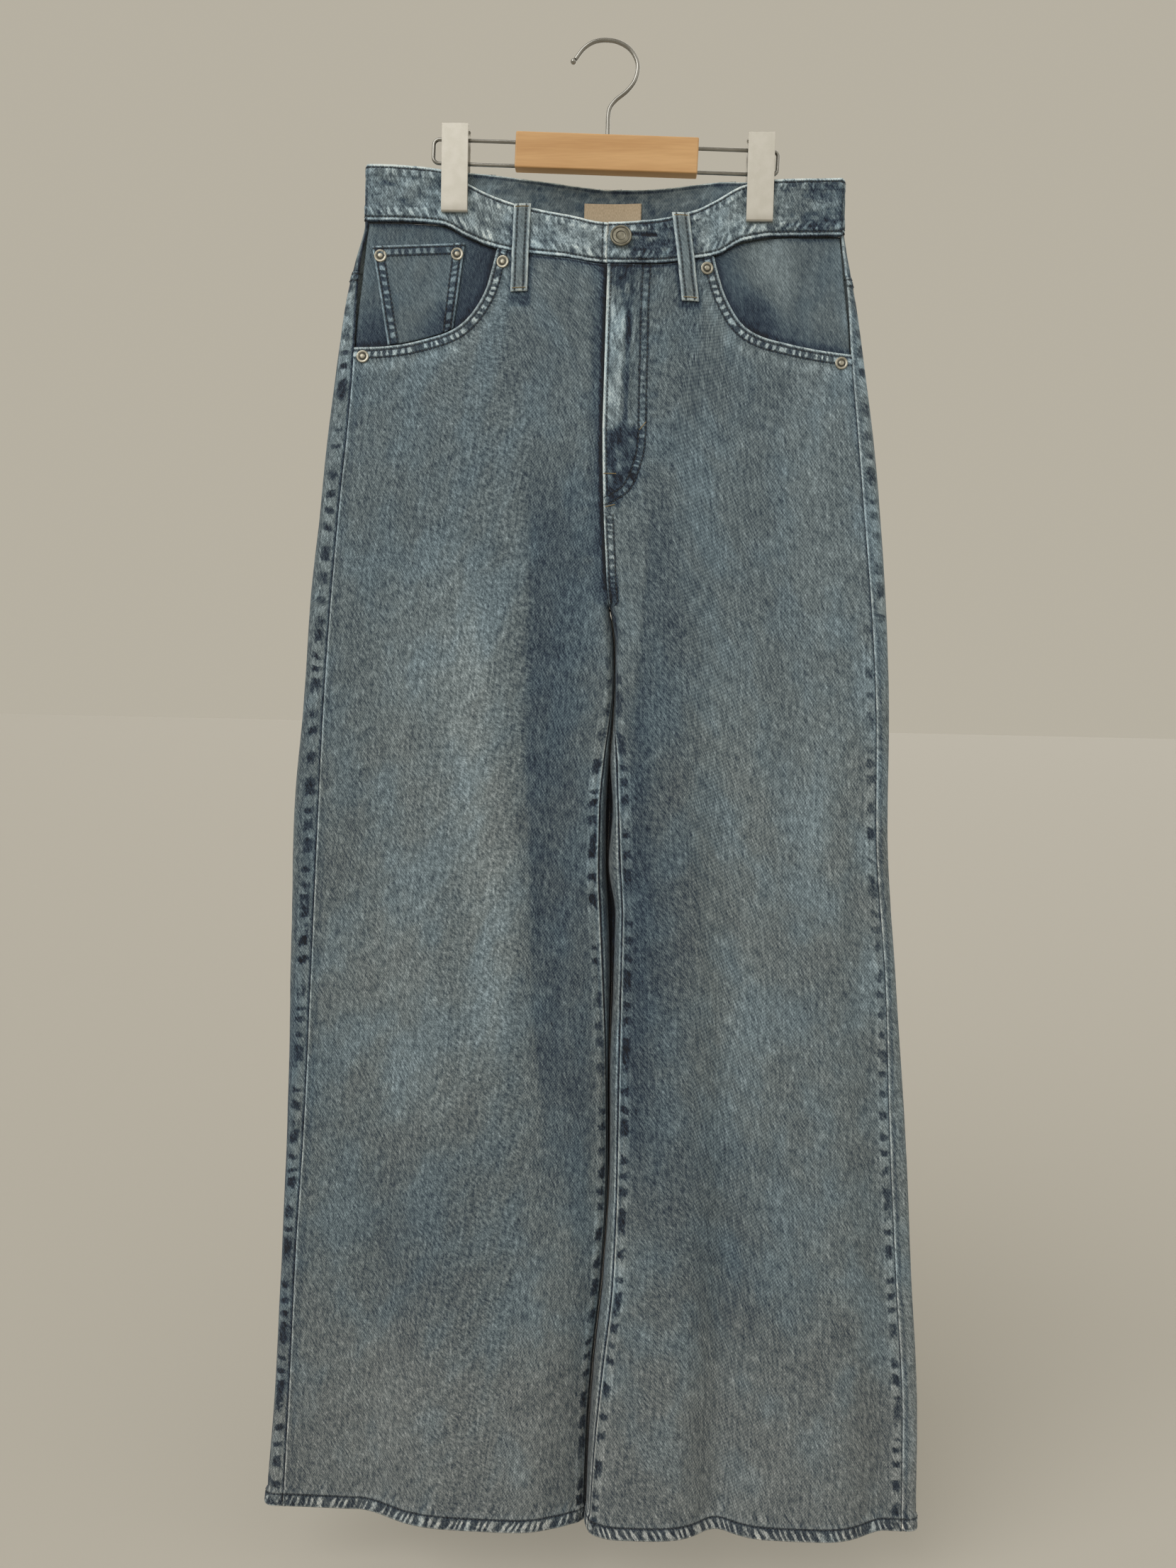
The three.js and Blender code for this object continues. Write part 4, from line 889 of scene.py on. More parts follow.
def fly_folds(sheet, upper):
    """Painted shade in dark mottles beyond the strip, folds under the waistband and one wavy ridge with a hollow
    beside it.
    """
    x, z, far = sheet.x, sheet.z, sheet.back_across
    # Painted shade: a dark mottled band beyond the strip.
    beyond = bell((far - 19) / 4.0) * upper * ease(-300, -290, z)
    sheet.tone -= 0.24 * beyond * ease(0.1, 0.55, mottle(x, z, 6, 26, 5))
    top_fold = ease(-214, -196, z) * bell((far - 14) / 11) * (mottle(x + 0.3 * z, z, 9, 5, 57) - 0.55)
    sheet.mark(top_fold * upper, 0.55, 1.1)
    from_ridge = x - 24.8 - 1.5 * np.sin(z / 13) - 1.0 * np.sin(z / 7.3)
    stretch = ease(-312, -290, z) * upper
    ridge, hollow = bell(from_ridge / 2.6) * stretch, bell((from_ridge + 5) / 2.6) * stretch
    sheet.lift += 0.9 * ridge - 0.4 * hollow
    sheet.tone += 0.18 * ridge - 0.24 * hollow * mottle(x, z, 7, 15, 65)


def fly_curve(sheet):
    """The curved double row, and puckers on its outer side."""
    x, z, half = sheet.x, sheet.z, FLY_ROW_GAP / 2
    middle = moved_line(fly_line, half)
    distance, along = from_line(middle, x, z)
    near_x, near_z = at_share(middle, along / lengths(middle)[-1])
    outside = np.where(x - near_x - (z - near_z) * ease(-300, -350, z) > 0, 1, -1)
    sheet.sewn_twice(distance * outside + half, along, 0.0, FLY_ROW_GAP, 6.6, np.where(z < -300, 0.32, 0.17))
    sheet.tone -= 0.05 * bell(distance / 9)
    sheet.mark(bell((distance - 9) / 6) * (outside > 0) * uneven(along, 11, 0.7), 0.08, 0.3)


def below_fly(sheet):
    """The centre seam from the fly's end to the crotch: a lap that darkens downwards."""
    z, far = sheet.z, sheet.back_across
    centre = ease(-360, -366, z) * ease(CROTCH_Z - 1, CROTCH_Z + 14, z)
    sheet.mark(centre * ease(10.5, 8.5, far), 0.02 - 0.22 * ease(-400, -434, z), 0.6)
    below = np.where((z < -364) & (z > CROTCH_Z), far, FAR)
    sheet.sewn_twice(below, -z, *BELOW_FLY_ROWS, 6.4, 0.30 * ease(-445, -405, z))
    sheet.tone -= 0.20 * ease(11, 2, far) * ease(-404, -434, z) * ease(CROTCH_Z - 34, CROTCH_Z - 4, z)


def fly_details(sheet):
    upper = ease(*FLY_END, sheet.z)
    fly_strip(sheet, upper)
    fly_folds(sheet, upper)
    fly_curve(sheet)
    below_fly(sheet)


def beside_fly(sheet):
    """The left front's edge under the fly: painted shadow of the fly, darkest at the fold, and softly puckered."""
    z, beside = sheet.z, np.where(sheet.z > CROTCH_Z, sheet.back_across, FAR)
    sheet.tone -= 0.34 * ease(4.5, 0.5, beside) * ease(-436, -420, z)
    sheet.tone -= 0.14 * ease(15, 1, beside) * (0.5 + mottle(sheet.x, z, 9, 40, 23))
    sheet.tone += 0.04 * bell((beside - 14) / 7) * uneven(-z, 12, 0.6)


print("the fly ends at", FLY_END[1], "mm")

# %% [markdown]
# Beside the inseam and the side seam the allowances lie double under the cloth, so the wash works harder on it: a
# corded ridge, a groove, and dark patches where the cloth shrank between them. The pocket's edge is turned under and
# sewn twice, which makes a ladder of pale patches, and painted shadow darkens the cloth beside and below each belt
# loop.

# %% Seams and pocket edges of the fronts
LOOP_AT = ((-62.5, -64), (61, 70.5))  # x of the front belt loops at their top and bottom
LOOP_WIDTH, LOOP_LENGTH = 13.5, 68
LOOP_TOP, LOOP_FOOT, SHADE_END = -128, -203, -215


def seam_details(sheet, leg):
    """Beside the inseam and the side seam: a corded ridge, a groove, and dark patches on the panel."""
    inner = np.where(sheet.z < CROTCH_Z + 8, sheet.back_across, FAR)
    run = -sheet.z
    sheet.lift += 0.55 * bell((inner - 0.9) / 1.3) - 0.35 * bell((inner - 3.4) / 2.0)
    sheet.rim = np.minimum(sheet.rim, inner + 0.55)
    sheet.tone -= 0.08 * bell((inner - 2.6) / 2.0)
    slow = 0.45 + 0.9 * mottle(run, 0 * run, 42, 9, 81 + leg.sign)
    sheet.rungs(inner, run + 9 * leg.sign, 0.6, 9.4, 20, -0.34 * slow * ease(-455, -500, sheet.z))
    outer = np.where(sheet.z < -243, sheet.across, FAR)
    sheet.lift += 0.5 * bell((outer - 0.9) / 1.3) - 0.35 * bell((outer - 3.6) / 2.2)
    if leg is RIGHT:
        sheet.rungs(outer, run, 0.6, 9.0, 19, -0.31 * slow * ease(-435, -475, sheet.z))
        sheet.tone -= 0.24 * ease(1.6, 0.6, outer)
    else:
        sheet.rim = np.minimum(sheet.rim, outer + 0.55)
        sheet.tone -= 0.05 * bell((outer - 5.0) / 4.5)
        sheet.tone += 0.03 * bell((outer - 9) / 8) * uneven(run, 12, 2.2)


def pocket_edge(sheet, leg):
    far, along = from_line(SCOOP_LINE[leg.name], sheet.x, sheet.z)
    far = np.where(sheet.z > -262, far, FAR)
    sheet.lapped(far, along, SCOOP_LAP, 0.42)
    sheet.tone += 0.07 * bell((far - 15) / 8)
    sheet.tone += 0.07 * bell((far - 15) / 7) * uneven(along, 9, leg.sign + 2.0)
    sheet.lift += 0.3 * bell((far - 15) / 8) * uneven(along, 9, leg.sign + 2.0)


def shade_beside_loops(sheet):
    # Painted shadow: the cloth beside and below each front belt loop is darkened.
    for top_x, bottom_x in LOOP_AT:
        share = np.clip((sheet.z - LOOP_TOP) / -LOOP_LENGTH, 0, 1)
        far = np.abs(sheet.x - mix(top_x, bottom_x, share)) - LOOP_WIDTH / 2
        below = np.maximum(LOOP_FOOT - sheet.z, 0)
        sheet.tone -= 0.15 * ease(4.0, 0.3, np.hypot(np.maximum(far, 0), below)) * (sheet.z > SHADE_END)


print(len(LOOP_AT), "belt loops shade the front")

# %% [markdown]
# Each front is now laid, washed, hemmed and marked along its edges, in that order, because a later mark along an edge
# takes the place of an earlier one that is farther away. Rows are closer where the cloth turns or is sewn.

# %% Fronts
front_sheets = {}
for leg in LEGS:
    share = np.linspace(0, 1, FRONT_COLUMNS)[None, :]
    patch = finer(((0.10, 14), (1.0, PATCH_ROWS - 14)))
    below = finer((((CROTCH_Z + 12 - PATCH_END) / (HEM_Z - PATCH_END), 26), (0.18, 12),
                   (0.982, LEG_ROWS - 56), (1.0, 18)))
    down = np.concatenate((patch, 1 + below[1:]))[:, None]
    sheet = Sheet(f"front_{leg.name}_denim", front_place(leg, share, down), 0.0, FRONT_TONE)
    wash(sheet)
    hem(sheet, 0.4 + leg.sign)
    seam_details(sheet, leg)
    pocket_edge(sheet, leg)
    edge_details = fly_details if leg is RIGHT else beside_fly
    edge_details(sheet)
    # Painted shadow under the waistband's lower edge: a dark line and a soft fade below it.
    under_band = np.where((sheet.down > 0) & (share > SCOOP_COLUMNS / CAD_COLUMNS), sheet.down, FAR)
    sheet.tone -= 0.26 * ease(3.2, 0.5, under_band) + 0.05 * ease(12, 2, under_band)
    shade_beside_loops(sheet)
    sheet.puckers(under_band, sheet.x + 400, 12, 12, 11, 2.0 + leg.sign, 0.4, 0.04)
    front_sheets[leg.name] = make(sheet, DENIM, (denim, denim_inside), f"front_{leg.name}", "denim")

# %% [markdown]
# The back of each leg is cut wider than the front, so its edges come round to the front: the inseam and the side
# seam both show there. One sheet runs from the inseam, round the inner edge, over the back and round to the side.

# %% Where the backs lie
YOKE_Z, YOKE_RISE, YOKE_HALF = -207, 29, 195
BACK_SHARES = finer(((0.16, 32), (0.84, 70), (1.0, 30)))
SEAT_ROWS, BACK_LEG_ROWS = 30, 180


def back_place(leg, z, share):
    z, share = np.broadcast_arrays(z + 0.0, share)
    in_leg = z < CROTCH_Z
    start = np.where(in_leg, turn_of(leg, z, leg.inseam(z) - leg.sign * SEAM_GAP, leg.inner(z)), 1.0)
    front, x = around(leg, z, mix(start, 2 + seam_turn(leg, z), share))
    at_seat = (share == 0) & ~in_leg
    return Place(leg.sign, front & ~at_seat, np.where(at_seat, seat(z) + leg.sign * SEAM_GAP, x), z)


def yoke_seam(x):
    return YOKE_Z + YOKE_RISE * np.minimum(np.abs(x - MIDDLE_X) / YOKE_HALF, 1)


def seat_place(leg, share, down, top_of, bottom_of):
    z = np.full(np.broadcast(share, down).shape, -200.0)
    for _ in range(5):
        x = back_place(leg, z, share).x
        z = mix(top_of(x), bottom_of(x), down)
    return back_place(leg, z, share)


print("columns round a back:", len(BACK_SHARES))

# %% [markdown]
# Along the side seam and the inseam the back panel has a groove or a pale cord, and blotches by the hip. The seat
# seam in its middle is lapped and sewn twice. Between the legs the two backs bulge behind the thin gap until they
# meet, so that no light comes through, and painted shade darkens them there, as in a crevice.

# %% Seams of the backs
def back_seams(sheet, leg, high):
    run, side = -sheet.z, sheet.back_across
    slow = 0.45 + 0.9 * mottle(run, 0 * run, 38, 9, 91 + leg.sign)
    if leg is LEFT:
        sheet.rungs(side, run, 2.0, 12.5, 18.0, -0.33 * slow)
        sheet.tone -= 0.25 * ease(1.8, 0.6, side)
    else:
        sheet.tone += 0.05 * bell((side - 8) / 10)
        sheet.rim = np.minimum(sheet.rim, side + 0.4)
        sheet.tone -= 0.10 * bell((side - 3.4) / 2.0)
        sheet.rungs(side, run, 3.0, 13.0, 18.0, -0.32 * slow * ease(-465, -430, sheet.z))
    sheet.lift -= 0.3 * bell((side - 1.4) / 1.8)
    if high:
        return
    inner = np.where(sheet.z < CROTCH_Z, sheet.across, FAR)
    sheet.tone -= 0.30 * ease(1.5, 0.5, inner)
    if leg is LEFT:
        sheet.tone -= 0.10 * ease(16, 8, inner) * ease(-480, -530, sheet.z) * ease(-1060, -900, sheet.z)
    sheet.rim = np.minimum(sheet.rim, np.abs(inner - 2.4) + 0.9)
    sheet.lapped(np.where(sheet.z > CROTCH_Z, sheet.across, FAR), run, SEAM_LAP, 0.28)


def meet_behind(sheet, leg):
    first_back = np.argmax(~sheet.front, axis=1)
    turned = sheet.across[np.arange(len(first_back)), first_back][:, None]
    past = sheet.across - turned
    meeting = (LEFT.inner(sheet.z) + RIGHT.inner(sheet.z)) / 2 + leg.sign * 0.02
    pull = ease(0.3, 3.5, past) * ease(14, 6.5, past) * ease(CROTCH_Z - 1, CROTCH_Z - 8, sheet.z)
    sheet.lift *= 1 - pull
    sheet.shift += (meeting - sheet.x) * pull
    # Painted shade: the back cloth where the legs meet behind the gap is darkened as a shaded crevice.
    near = ease(-2.5, 1, past) * ease(16, 10, past)
    sheet.tone -= 0.40 * near * ease(CROTCH_Z, CROTCH_Z - 10, sheet.z)


print("seam lap, mm:", SEAM_LAP.rows)

# %% [markdown]
# A back runs from the yoke seam to the hem and is sewn to the yoke with a lap. The yoke is a short sheet of its own
# between that seam and the waistband, and puckers from both.

# %% Backs and yokes
YOKE_ROWS = 26

back_sheets, yoke_sheets = {}, {}
for leg in LEGS:
    share = BACK_SHARES[None, :]
    upper = seat_place(leg, share, finer(((0.12, 8), (1.0, SEAT_ROWS - 8)))[:, None],
                       lambda x: yoke_seam(x) - SEAM_GAP, lambda x: PATCH_END + 0 * x)
    z_rows = mix(PATCH_END, HEM_Z, finer(((0.14, 22), (0.17, 12), (0.982, BACK_LEG_ROWS - 52), (1.0, 18)))[1:])
    lower = back_place(leg, z_rows[:, None], share)
    place = Place(leg.sign, *(np.vstack((getattr(upper, key), getattr(lower, key))) for key in ("front", "x", "z")))
    sheet = Sheet(f"back_{leg.name}_denim", place, 0.0)
    wash(sheet)
    hem(sheet, 2.1 + leg.sign)
    back_seams(sheet, leg, False)
    meet_behind(sheet, leg)
    sheet.lapped(sheet.down, sheet.across, SEAM_LAP, 0.28)
    back_sheets[leg.name] = make(sheet, DENIM, (denim, denim_inside), f"back_{leg.name}", "denim")

    place = seat_place(leg, share, np.linspace(0, 1, YOKE_ROWS)[:, None],
                       lambda x: back_bottom(x) - BAND_GAP, lambda x: yoke_seam(x) + SEAM_GAP)
    sheet = Sheet(f"yoke_{leg.name}_denim", place, 0.0)
    wash(sheet)
    back_seams(sheet, leg, True)
    sheet.puckers(sheet.down, sheet.across, 6, 9, 9, 1.9, 0.4, 0.07)
    sheet.puckers(sheet.up, sheet.across, 5, 8, 9, 3.9, 0.3, 0.07)
    sheet.tone -= 0.12 * ease(3, 0.5, sheet.up) + 0.1 * ease(4, 0.5, sheet.down)
    yoke_sheets[leg.name] = make(sheet, DENIM, (denim, denim_inside), f"yoke_{leg.name}", "denim")

# %% [markdown]
# The waistband is a doubled strip, sewn along both edges. Its layers shrink by different amounts in the wash, so it
# is the most puckered place of all: pale slanted ridges with dark hollows. Its top edge is worn nearly white.

# %% Waistband
BAND_COLUMNS, BAND_BACK_HALF = 150, 110
BAND_ROWS = finer(((0.1, 5), (0.9, 24), (1.0, 5)))
BAND_TOP_ROW, BAND_LOW_ROW, BAND_END_ROW = 2.8, 3.2, 3.8
FRONT_BAND_TONE, BACK_BAND_TONE = 0.485, 0.45
SLIT_X, SLIT_Z, SLIT_HALF = 33, -150.5, 9  # the buttonhole


def band_crinkle(sheet, seed, strength=1.0):
    u, v = sheet.across + 0.5 * sheet.down, sheet.down - 0.25 * sheet.across
    crinkle = mottle(u, v, 7.5, 3.6, seed) - 0.5
    broad = mottle(u, v, 26, 10, seed + 1) - 0.5
    fine = mottle(u, v, 3.6, 2.2, seed + 2) - 0.5
    sheet.lift += strength * (0.9 * crinkle + 0.7 * broad)
    sheet.tone += strength * (0.32 * crinkle + 0.20 * broad + 0.24 * fine)
    sheet.worn_edge(sheet.down, 0.7, 2.0)
    sheet.tone += 0.16 * ease(2.2, 0.6, sheet.down)
    sheet.rungs(sheet.down, sheet.across + 4 * crinkle, 2.6, 9.5, 8.4, 0.24)
    sheet.rungs(sheet.up, sheet.across + 0.6 * sheet.up, 3.0, 12.0, 8.8, 0.27)
    sheet.sewn(sheet.down - BAND_TOP_ROW, 0.3)
    sheet.sewn(sheet.up - BAND_LOW_ROW, 0.35)
    sheet.tone += 0.24 * bell((sheet.up - 1.7) / 1.4) - 0.3 * ease(0.8, 0.1, sheet.up)


def buttonhole(sheet):
    slit = np.hypot(np.maximum(np.abs(sheet.x - SLIT_X) - SLIT_HALF, 0), sheet.z - SLIT_Z)
    # Painted shade darkens the buttonhole's slit.
    sheet.tone -= 0.24 * ease(2.0, 0.8, slit)
    sheet.lift -= 0.5 * ease(1.6, 0.4, slit)
    sheet.lift += 0.5 * bell((slit - 2.6) / 1.6)
    sheet.tone += 0.16 * bell((slit - 3.0) / 1.7)


def band_end(sheet):
    """The end of the left half, turned in and sewn across."""
    end = sheet.back_across
    sheet.worn_edge(end, 0.6, 1.8)
    sheet.tone += 0.2 * ease(3.4, 1.6, end) - 0.05 * bell((end - 6) / 3)
    sheet.sewn(end - BAND_END_ROW, 0.2)


band_sheets = {}
for leg in LEGS:
    share, down = np.linspace(0, 1, BAND_COLUMNS)[None, :], BAND_ROWS[:, None]
    guess = mix(leg.seam(-115.0), fly(-150.0), share)
    z = mix(front_top(guess), front_bottom(guess), down)
    outer, middle = leg.seam(z) - leg.sign * SEAM_GAP, fly(z) + leg.sign * SEAM_GAP
    place = Place(leg.sign, True, mix(outer, middle, share), z)
    sheet = Sheet(f"waistband_front_{leg.name}_denim", place, BAND_RISE, FRONT_BAND_TONE)
    band_crinkle(sheet, 40 + leg.sign)
    shade_beside_loops(sheet)
    if leg is RIGHT:
        buttonhole(sheet)
        sheet.tone -= 0.20 * ease(14, 34, sheet.x) * ease(68, 52, sheet.x) + 0.11 * ease(125, 165, sheet.x)
    else:
        band_end(sheet)
        sheet.tone += 0.08 * ease(-125, -60, sheet.x) - 0.01
    sheet.tone -= 0.12 * ease(2.5, 0.4, sheet.across)
    band_sheets[leg.name] = make(sheet, WAISTBAND, (denim, denim), f"waistband_front_{leg.name}", "denim")

# %% [markdown]
# The back of the waistband is one sheet over both legs, from side seam to side seam. Its height at each place depends
# on how far across that place is, and that on the height, so the two are found together in a few rounds.

# %% Back of the waistband
def band_back_place(share, down):
    """share runs from the left side seam, over the back, to the right one."""
    parts = []
    for leg, from_side in ((LEFT, 2 * share), (RIGHT, 2 - 2 * share)):
        z = np.full(np.broadcast(from_side, down).shape, -120.0)
        clipped = np.clip(from_side, 0, 1)
        for _ in range(5):
            front, x = around(leg, z, mix(2 + seam_turn(leg, z), 1.0, clipped))
            z = mix(back_top(x), back_bottom(x), down)
        at_seat = clipped == 1
        parts.append((front & ~at_seat, np.where(at_seat, seat(z), x), z))
    on_left = np.broadcast_to(share <= 0.5, parts[0][1].shape)
    front, x, z = (np.where(on_left, a, b) for a, b in zip(*parts))
    return Place(np.where(on_left, LEFT.sign, RIGHT.sign), front.astype(bool), x, z)


share = np.linspace(0, 1, 2 * BAND_BACK_HALF + 1)[None, :]
sheet = Sheet("waistband_back_denim", band_back_place(share, BAND_ROWS[:, None]), BAND_RISE, BACK_BAND_TONE)
band_crinkle(sheet, 47, 0.7)
for far in (sheet.across, sheet.back_across):
    sheet.tone -= 0.14 * ease(2.5, 0.4, far)
band_sheets["back"] = make(sheet, WAISTBAND, (denim, band_inside), "waistband_back", "denim")

# %% [markdown]
# The smaller pieces are four-sided patches that lie on a panel or just behind it. The first are the pocket facings,
# which show in the scoops: their lower edge follows the pocket's edge and runs a little under it. Near that edge,
# where the front covers them, and just under the band, they are darkened with painted shadow.

# %% Pocket facings
POCKET_UNDERLAP = 6
FACING_TONE = {"left": 0.35, "right": 0.50}
FACING_SHADE = {"left": 0.14, "right": 0.20}


def shares(columns, rows):
    return np.linspace(0, 1, columns)[None, :], np.linspace(0, 1, rows)[:, None]


def facing_place(leg, u, v):
    line = SCOOP_LINE[leg.name]
    edge_x, edge_z = at_share(line, u)
    run, far = runs(line), lengths(line)
    along_x, along_z = (np.interp(u * far[-1], far, run[:, k]) for k in (0, 1))
    lap = POCKET_UNDERLAP * np.minimum(u * 6, 1)
    low_x, low_z = edge_x - leg.sign * np.abs(along_z) * lap, edge_z - np.abs(along_x) * lap
    top_x = mix(leg.seam(-141.0) - leg.sign * 1.2, line[-1, 0] + leg.sign * 2, u)
    z = mix(front_bottom(top_x) - BAND_GAP - 0.5, low_z, v)
    limit = leg.sign * leg.seam(z) - 1.0
    return Place(leg.sign, True, leg.sign * np.minimum(leg.sign * mix(top_x, low_x, v), limit), z)


small_sheets = {}
for leg in LEGS:
    u, v = shares(84, 60)
    sheet = Sheet(f"pocket_facing_{leg.name}_denim", facing_place(leg, u, v), -DENIM - LAP_GAP, FACING_TONE[leg.name])
    x, z = sheet.x, sheet.z
    far, _ = from_line(SCOOP_LINE[leg.name], x, z)
    # Painted shadow from the pocket's edge: a dark line at the edge and a wider fade away from it.
    sheet.tone -= 0.13 * ease(7, 1, far) + FACING_SHADE[leg.name] * ease(44, 5, far)
    if leg is RIGHT:
        sheet.tone -= 0.13 * bell((x - 124) / 24) * ease(-176, -205, z)
        sheet.tone -= 0.12 * ease(138, 160, x) * ease(-215, -195, z)
        sheet.tone += 0.04 * ease(150, 165, x) * ease(-205, -225, z)
        sheet.lift += 0.9 * bell((x - 146) / 18) - 0.7 * bell((x - 122) / 16)
    sheet.lift += 0.7 * (mottle(x, z, 34, 40, 12 + leg.sign) - 0.5)
    # Painted shadow just under the waistband.
    sheet.tone -= 0.12 * ease(4, 0.5, sheet.down)
    sheet.tone += 0.06 * ease(9, 2, leg.sign * (leg.seam(z) - x))
    small_sheets[sheet.name] = make(sheet, POCKET_CLOTH, (facing_denim, denim_inside), f"pocket_facing_{leg.name}",
                                    "pocket_denim")

# %% [markdown]
# The coin pocket sits on the left facing. Its top and sides are lapped and sewn twice, and its foot disappears under
# the pocket's edge, so its lower line is read off that edge.

# %% Coin pocket
COIN = {"left": (-182, -158), "right": (-108, -155), "low": (-168, -116), "clearance": 1.2}
COIN_TONE = 0.385

scoop = SCOOP_LINE["left"]
u, v = shares(66, 60)
low_x = mix(COIN["low"][0], COIN["low"][1], u)
low_z = np.interp(low_x, scoop[:, 0], scoop[:, 1]) + COIN["clearance"]
top_x, top_z = mix(COIN["left"][0], COIN["right"][0], u), mix(COIN["left"][1], COIN["right"][1], u)
place = Place(LEFT.sign, True, mix(top_x, low_x, v), mix(top_z, low_z, v))
sheet = Sheet("coin_pocket_denim", place, POCKET_CLOTH - DENIM, COIN_TONE)
for far, along, strength in ((sheet.across, sheet.down, 0.34), (sheet.back_across, sheet.down, 0.30),
                             (sheet.down, sheet.across, 0.30)):
    sheet.lapped(far, along, COIN_LAP, strength)
    sheet.tone -= 0.07 * ease(11, 3, far)
blotches = mottle(sheet.across, sheet.down, 7, 11, 71) - 0.45
sheet.tone += 0.5 * np.minimum(blotches, 0) * bell((sheet.across - 15) / 9) * ease(6, 24, sheet.down)
sheet.tone += 0.6 * np.minimum(blotches, 0) * bell((sheet.back_across - 12) / 9) * ease(10, 40, sheet.down)
sheet.tone -= 0.16 * ease(30, 4, np.hypot(0.7 * (sheet.back_across - 4), sheet.up))
small_sheets[sheet.name] = make(sheet, POCKET_CLOTH, (facing_denim, denim_inside), "coin_pocket", "pocket_denim")

# %% [markdown]
# The back pockets are plain five-sided patches with a point, because the photo doesn't show them. The fly facing lies
# hidden behind the right front, so it is a plain strip with a rounded foot.

# %% Back pockets and fly facing
BACK_POCKET = {"width": 150, "height": 165, "point": 22, "top": -236, "from_centre": 32, "taper": 10}
POCKET_LIFT = 0.6  # over the back and its laps
FLY_FACING = {"top": -176, "bottom": -352, "width": 33, "round_from": 0.82}

for leg in LEGS:
    u, v = shares(90, 96)
    half = (BACK_POCKET["width"] - BACK_POCKET["taper"] * v) / 2
    centre = MIDDLE_X + leg.sign * (BACK_POCKET["from_centre"] + BACK_POCKET["width"] / 2)
    bottom = BACK_POCKET["height"] + BACK_POCKET["point"] * (1 - np.abs(2 * u - 1))
    place = Place(leg.sign, False, centre + (2 * u - 1) * half, BACK_POCKET["top"] - v * bottom)
    sheet = Sheet(f"back_pocket_{leg.name}_denim", place, LAP_GAP + POCKET_CLOTH + POCKET_LIFT)
    wash(sheet)
    for far, along in ((sheet.across, sheet.down), (sheet.back_across, sheet.down), (sheet.up, sheet.across)):
        sheet.lapped(far, along, POCKET_LAP, 0.30)
        sheet.tone -= 0.05 * ease(10, 3, far)
    sheet.lapped(sheet.down, sheet.across, POCKET_TOP_LAP, 0.24)
    small_sheets[sheet.name] = make(sheet, POCKET_CLOTH, (denim, denim_inside), f"back_pocket_{leg.name}", "denim")

u, v = shares(16, 60)
z = mix(FLY_FACING["top"], FLY_FACING["bottom"], v)
into_curve = np.maximum(v - FLY_FACING["round_from"], 0) / (1.02 - FLY_FACING["round_from"])
reach = FLY_FACING["width"] * np.sqrt(np.maximum(1 - into_curve**2, 0.1))
place = Place(RIGHT.sign, True, fly(z) + 2 * LAP_GAP + reach * u, z)
sheet = Sheet("fly_facing_denim", place, -DENIM - LAP_GAP)
small_sheets[sheet.name] = make(sheet, POCKET_CLOTH, (facing_denim,), "fly_facing", "denim")

# %% [markdown]
# Belt loops are narrow strips with a seam behind and a row of sewing along each edge. They stand on the waistband,
# step down past its lower edge and are tacked at both ends.

# %% Belt loops
SEAT_X = 5  # between the loops of the left and those of the right
LOOPS = (  # name, front, x at the top, x at the bottom
    ("belt_loop_front_left", True, *LOOP_AT[0]), ("belt_loop_front_right", True, *LOOP_AT[1]),
    ("belt_loop_back_left", False, -92, -92), ("belt_loop_back_centre", False, 8, 8),
    ("belt_loop_back_right", False, 98, 98),
)
LOOP_THICK, LOOP_RISE, LOOP_ROW, TACK_ROW, LOOP_TONE = 1.6, 0.8, 3.4, 2.6, 0.445

for name, in_front, top_x, bottom_x in LOOPS:
    u, v = shares(20, 66)
    top_z = (front_top if in_front else back_top)(top_x + 0.0) + LOOP_RISE
    band_end = (front_bottom if in_front else back_bottom)(top_x + 0.0)
    z = top_z - LOOP_LENGTH * v + 0 * u
    x = mix(top_x, bottom_x, v) + LOOP_WIDTH * (u - 0.5)
    rise = LAP_GAP + LOOP_THICK + mix(BAND_RISE, 0, ease(band_end - 1.5, band_end - 9, z))
    sign = LEFT.sign if top_x < SEAT_X else RIGHT.sign
    sheet = Sheet(f"{name}_denim", Place(sign, in_front, x, z), rise, LOOP_TONE)
    sheet.cool[:] = 0
    for far in (sheet.across, sheet.back_across):
        sheet.worn_edge(far, 0.5, 1.8)
        sheet.sewn(far - LOOP_ROW, 0.2)
    for far in (sheet.down, sheet.up):
        sheet.worn_edge(far, 0.4, 1.6)
        sheet.lift -= 0.5 * ease(3.2, 1.0, far)
        sheet.tone += 0.08 * ease(4.5, 3.0, far) * ease(1.0, 2.4, far)
    sheet.tone += 0.05 * (mottle(sheet.across, sheet.down, 5, 14, 60) - 0.5)
    sheet.lift += 0.35 * bell(u * 2 - 1) + 0.25 * uneven(sheet.down, 16, top_x)
    small_sheets[sheet.name] = make(sheet, LOOP_THICK, (loop_denim,), name, "denim")

# %% [markdown]
# The label is a smooth woven ribbon, cream and bare, with one pressed line where its two parts meet. The zip is
# hidden behind the fly, so it is a plain tape. Both are still thin sheets on their solids' places.

# %% Label and zip tape
ZIP = {"top": -177, "bottom": -340, "half": 14}
LABEL = {"left": -15, "right": 31, "top": -118, "bottom": -142, "thick": 1, "join": 18}


def ribbon_finish(name, shown, darker, across, along):
    finish = Finish(name)
    weave = finish.cloth_noise(0, across, along)
    tint = finish.between(finish.range(weave, 0.3, 0.7), darker, shown)
    return finish.shade(Base_Color=tint, Roughness=0.8, Normal=finish.bump(weave, 0.3, 0.0002))


label_cloth = ribbon_finish("label_cloth", (198, 180, 154), (176, 158, 132), 1600, 500)
zip_tape = ribbon_finish("zip_tape", (96, 108, 122), (74, 86, 100), 900, 300)

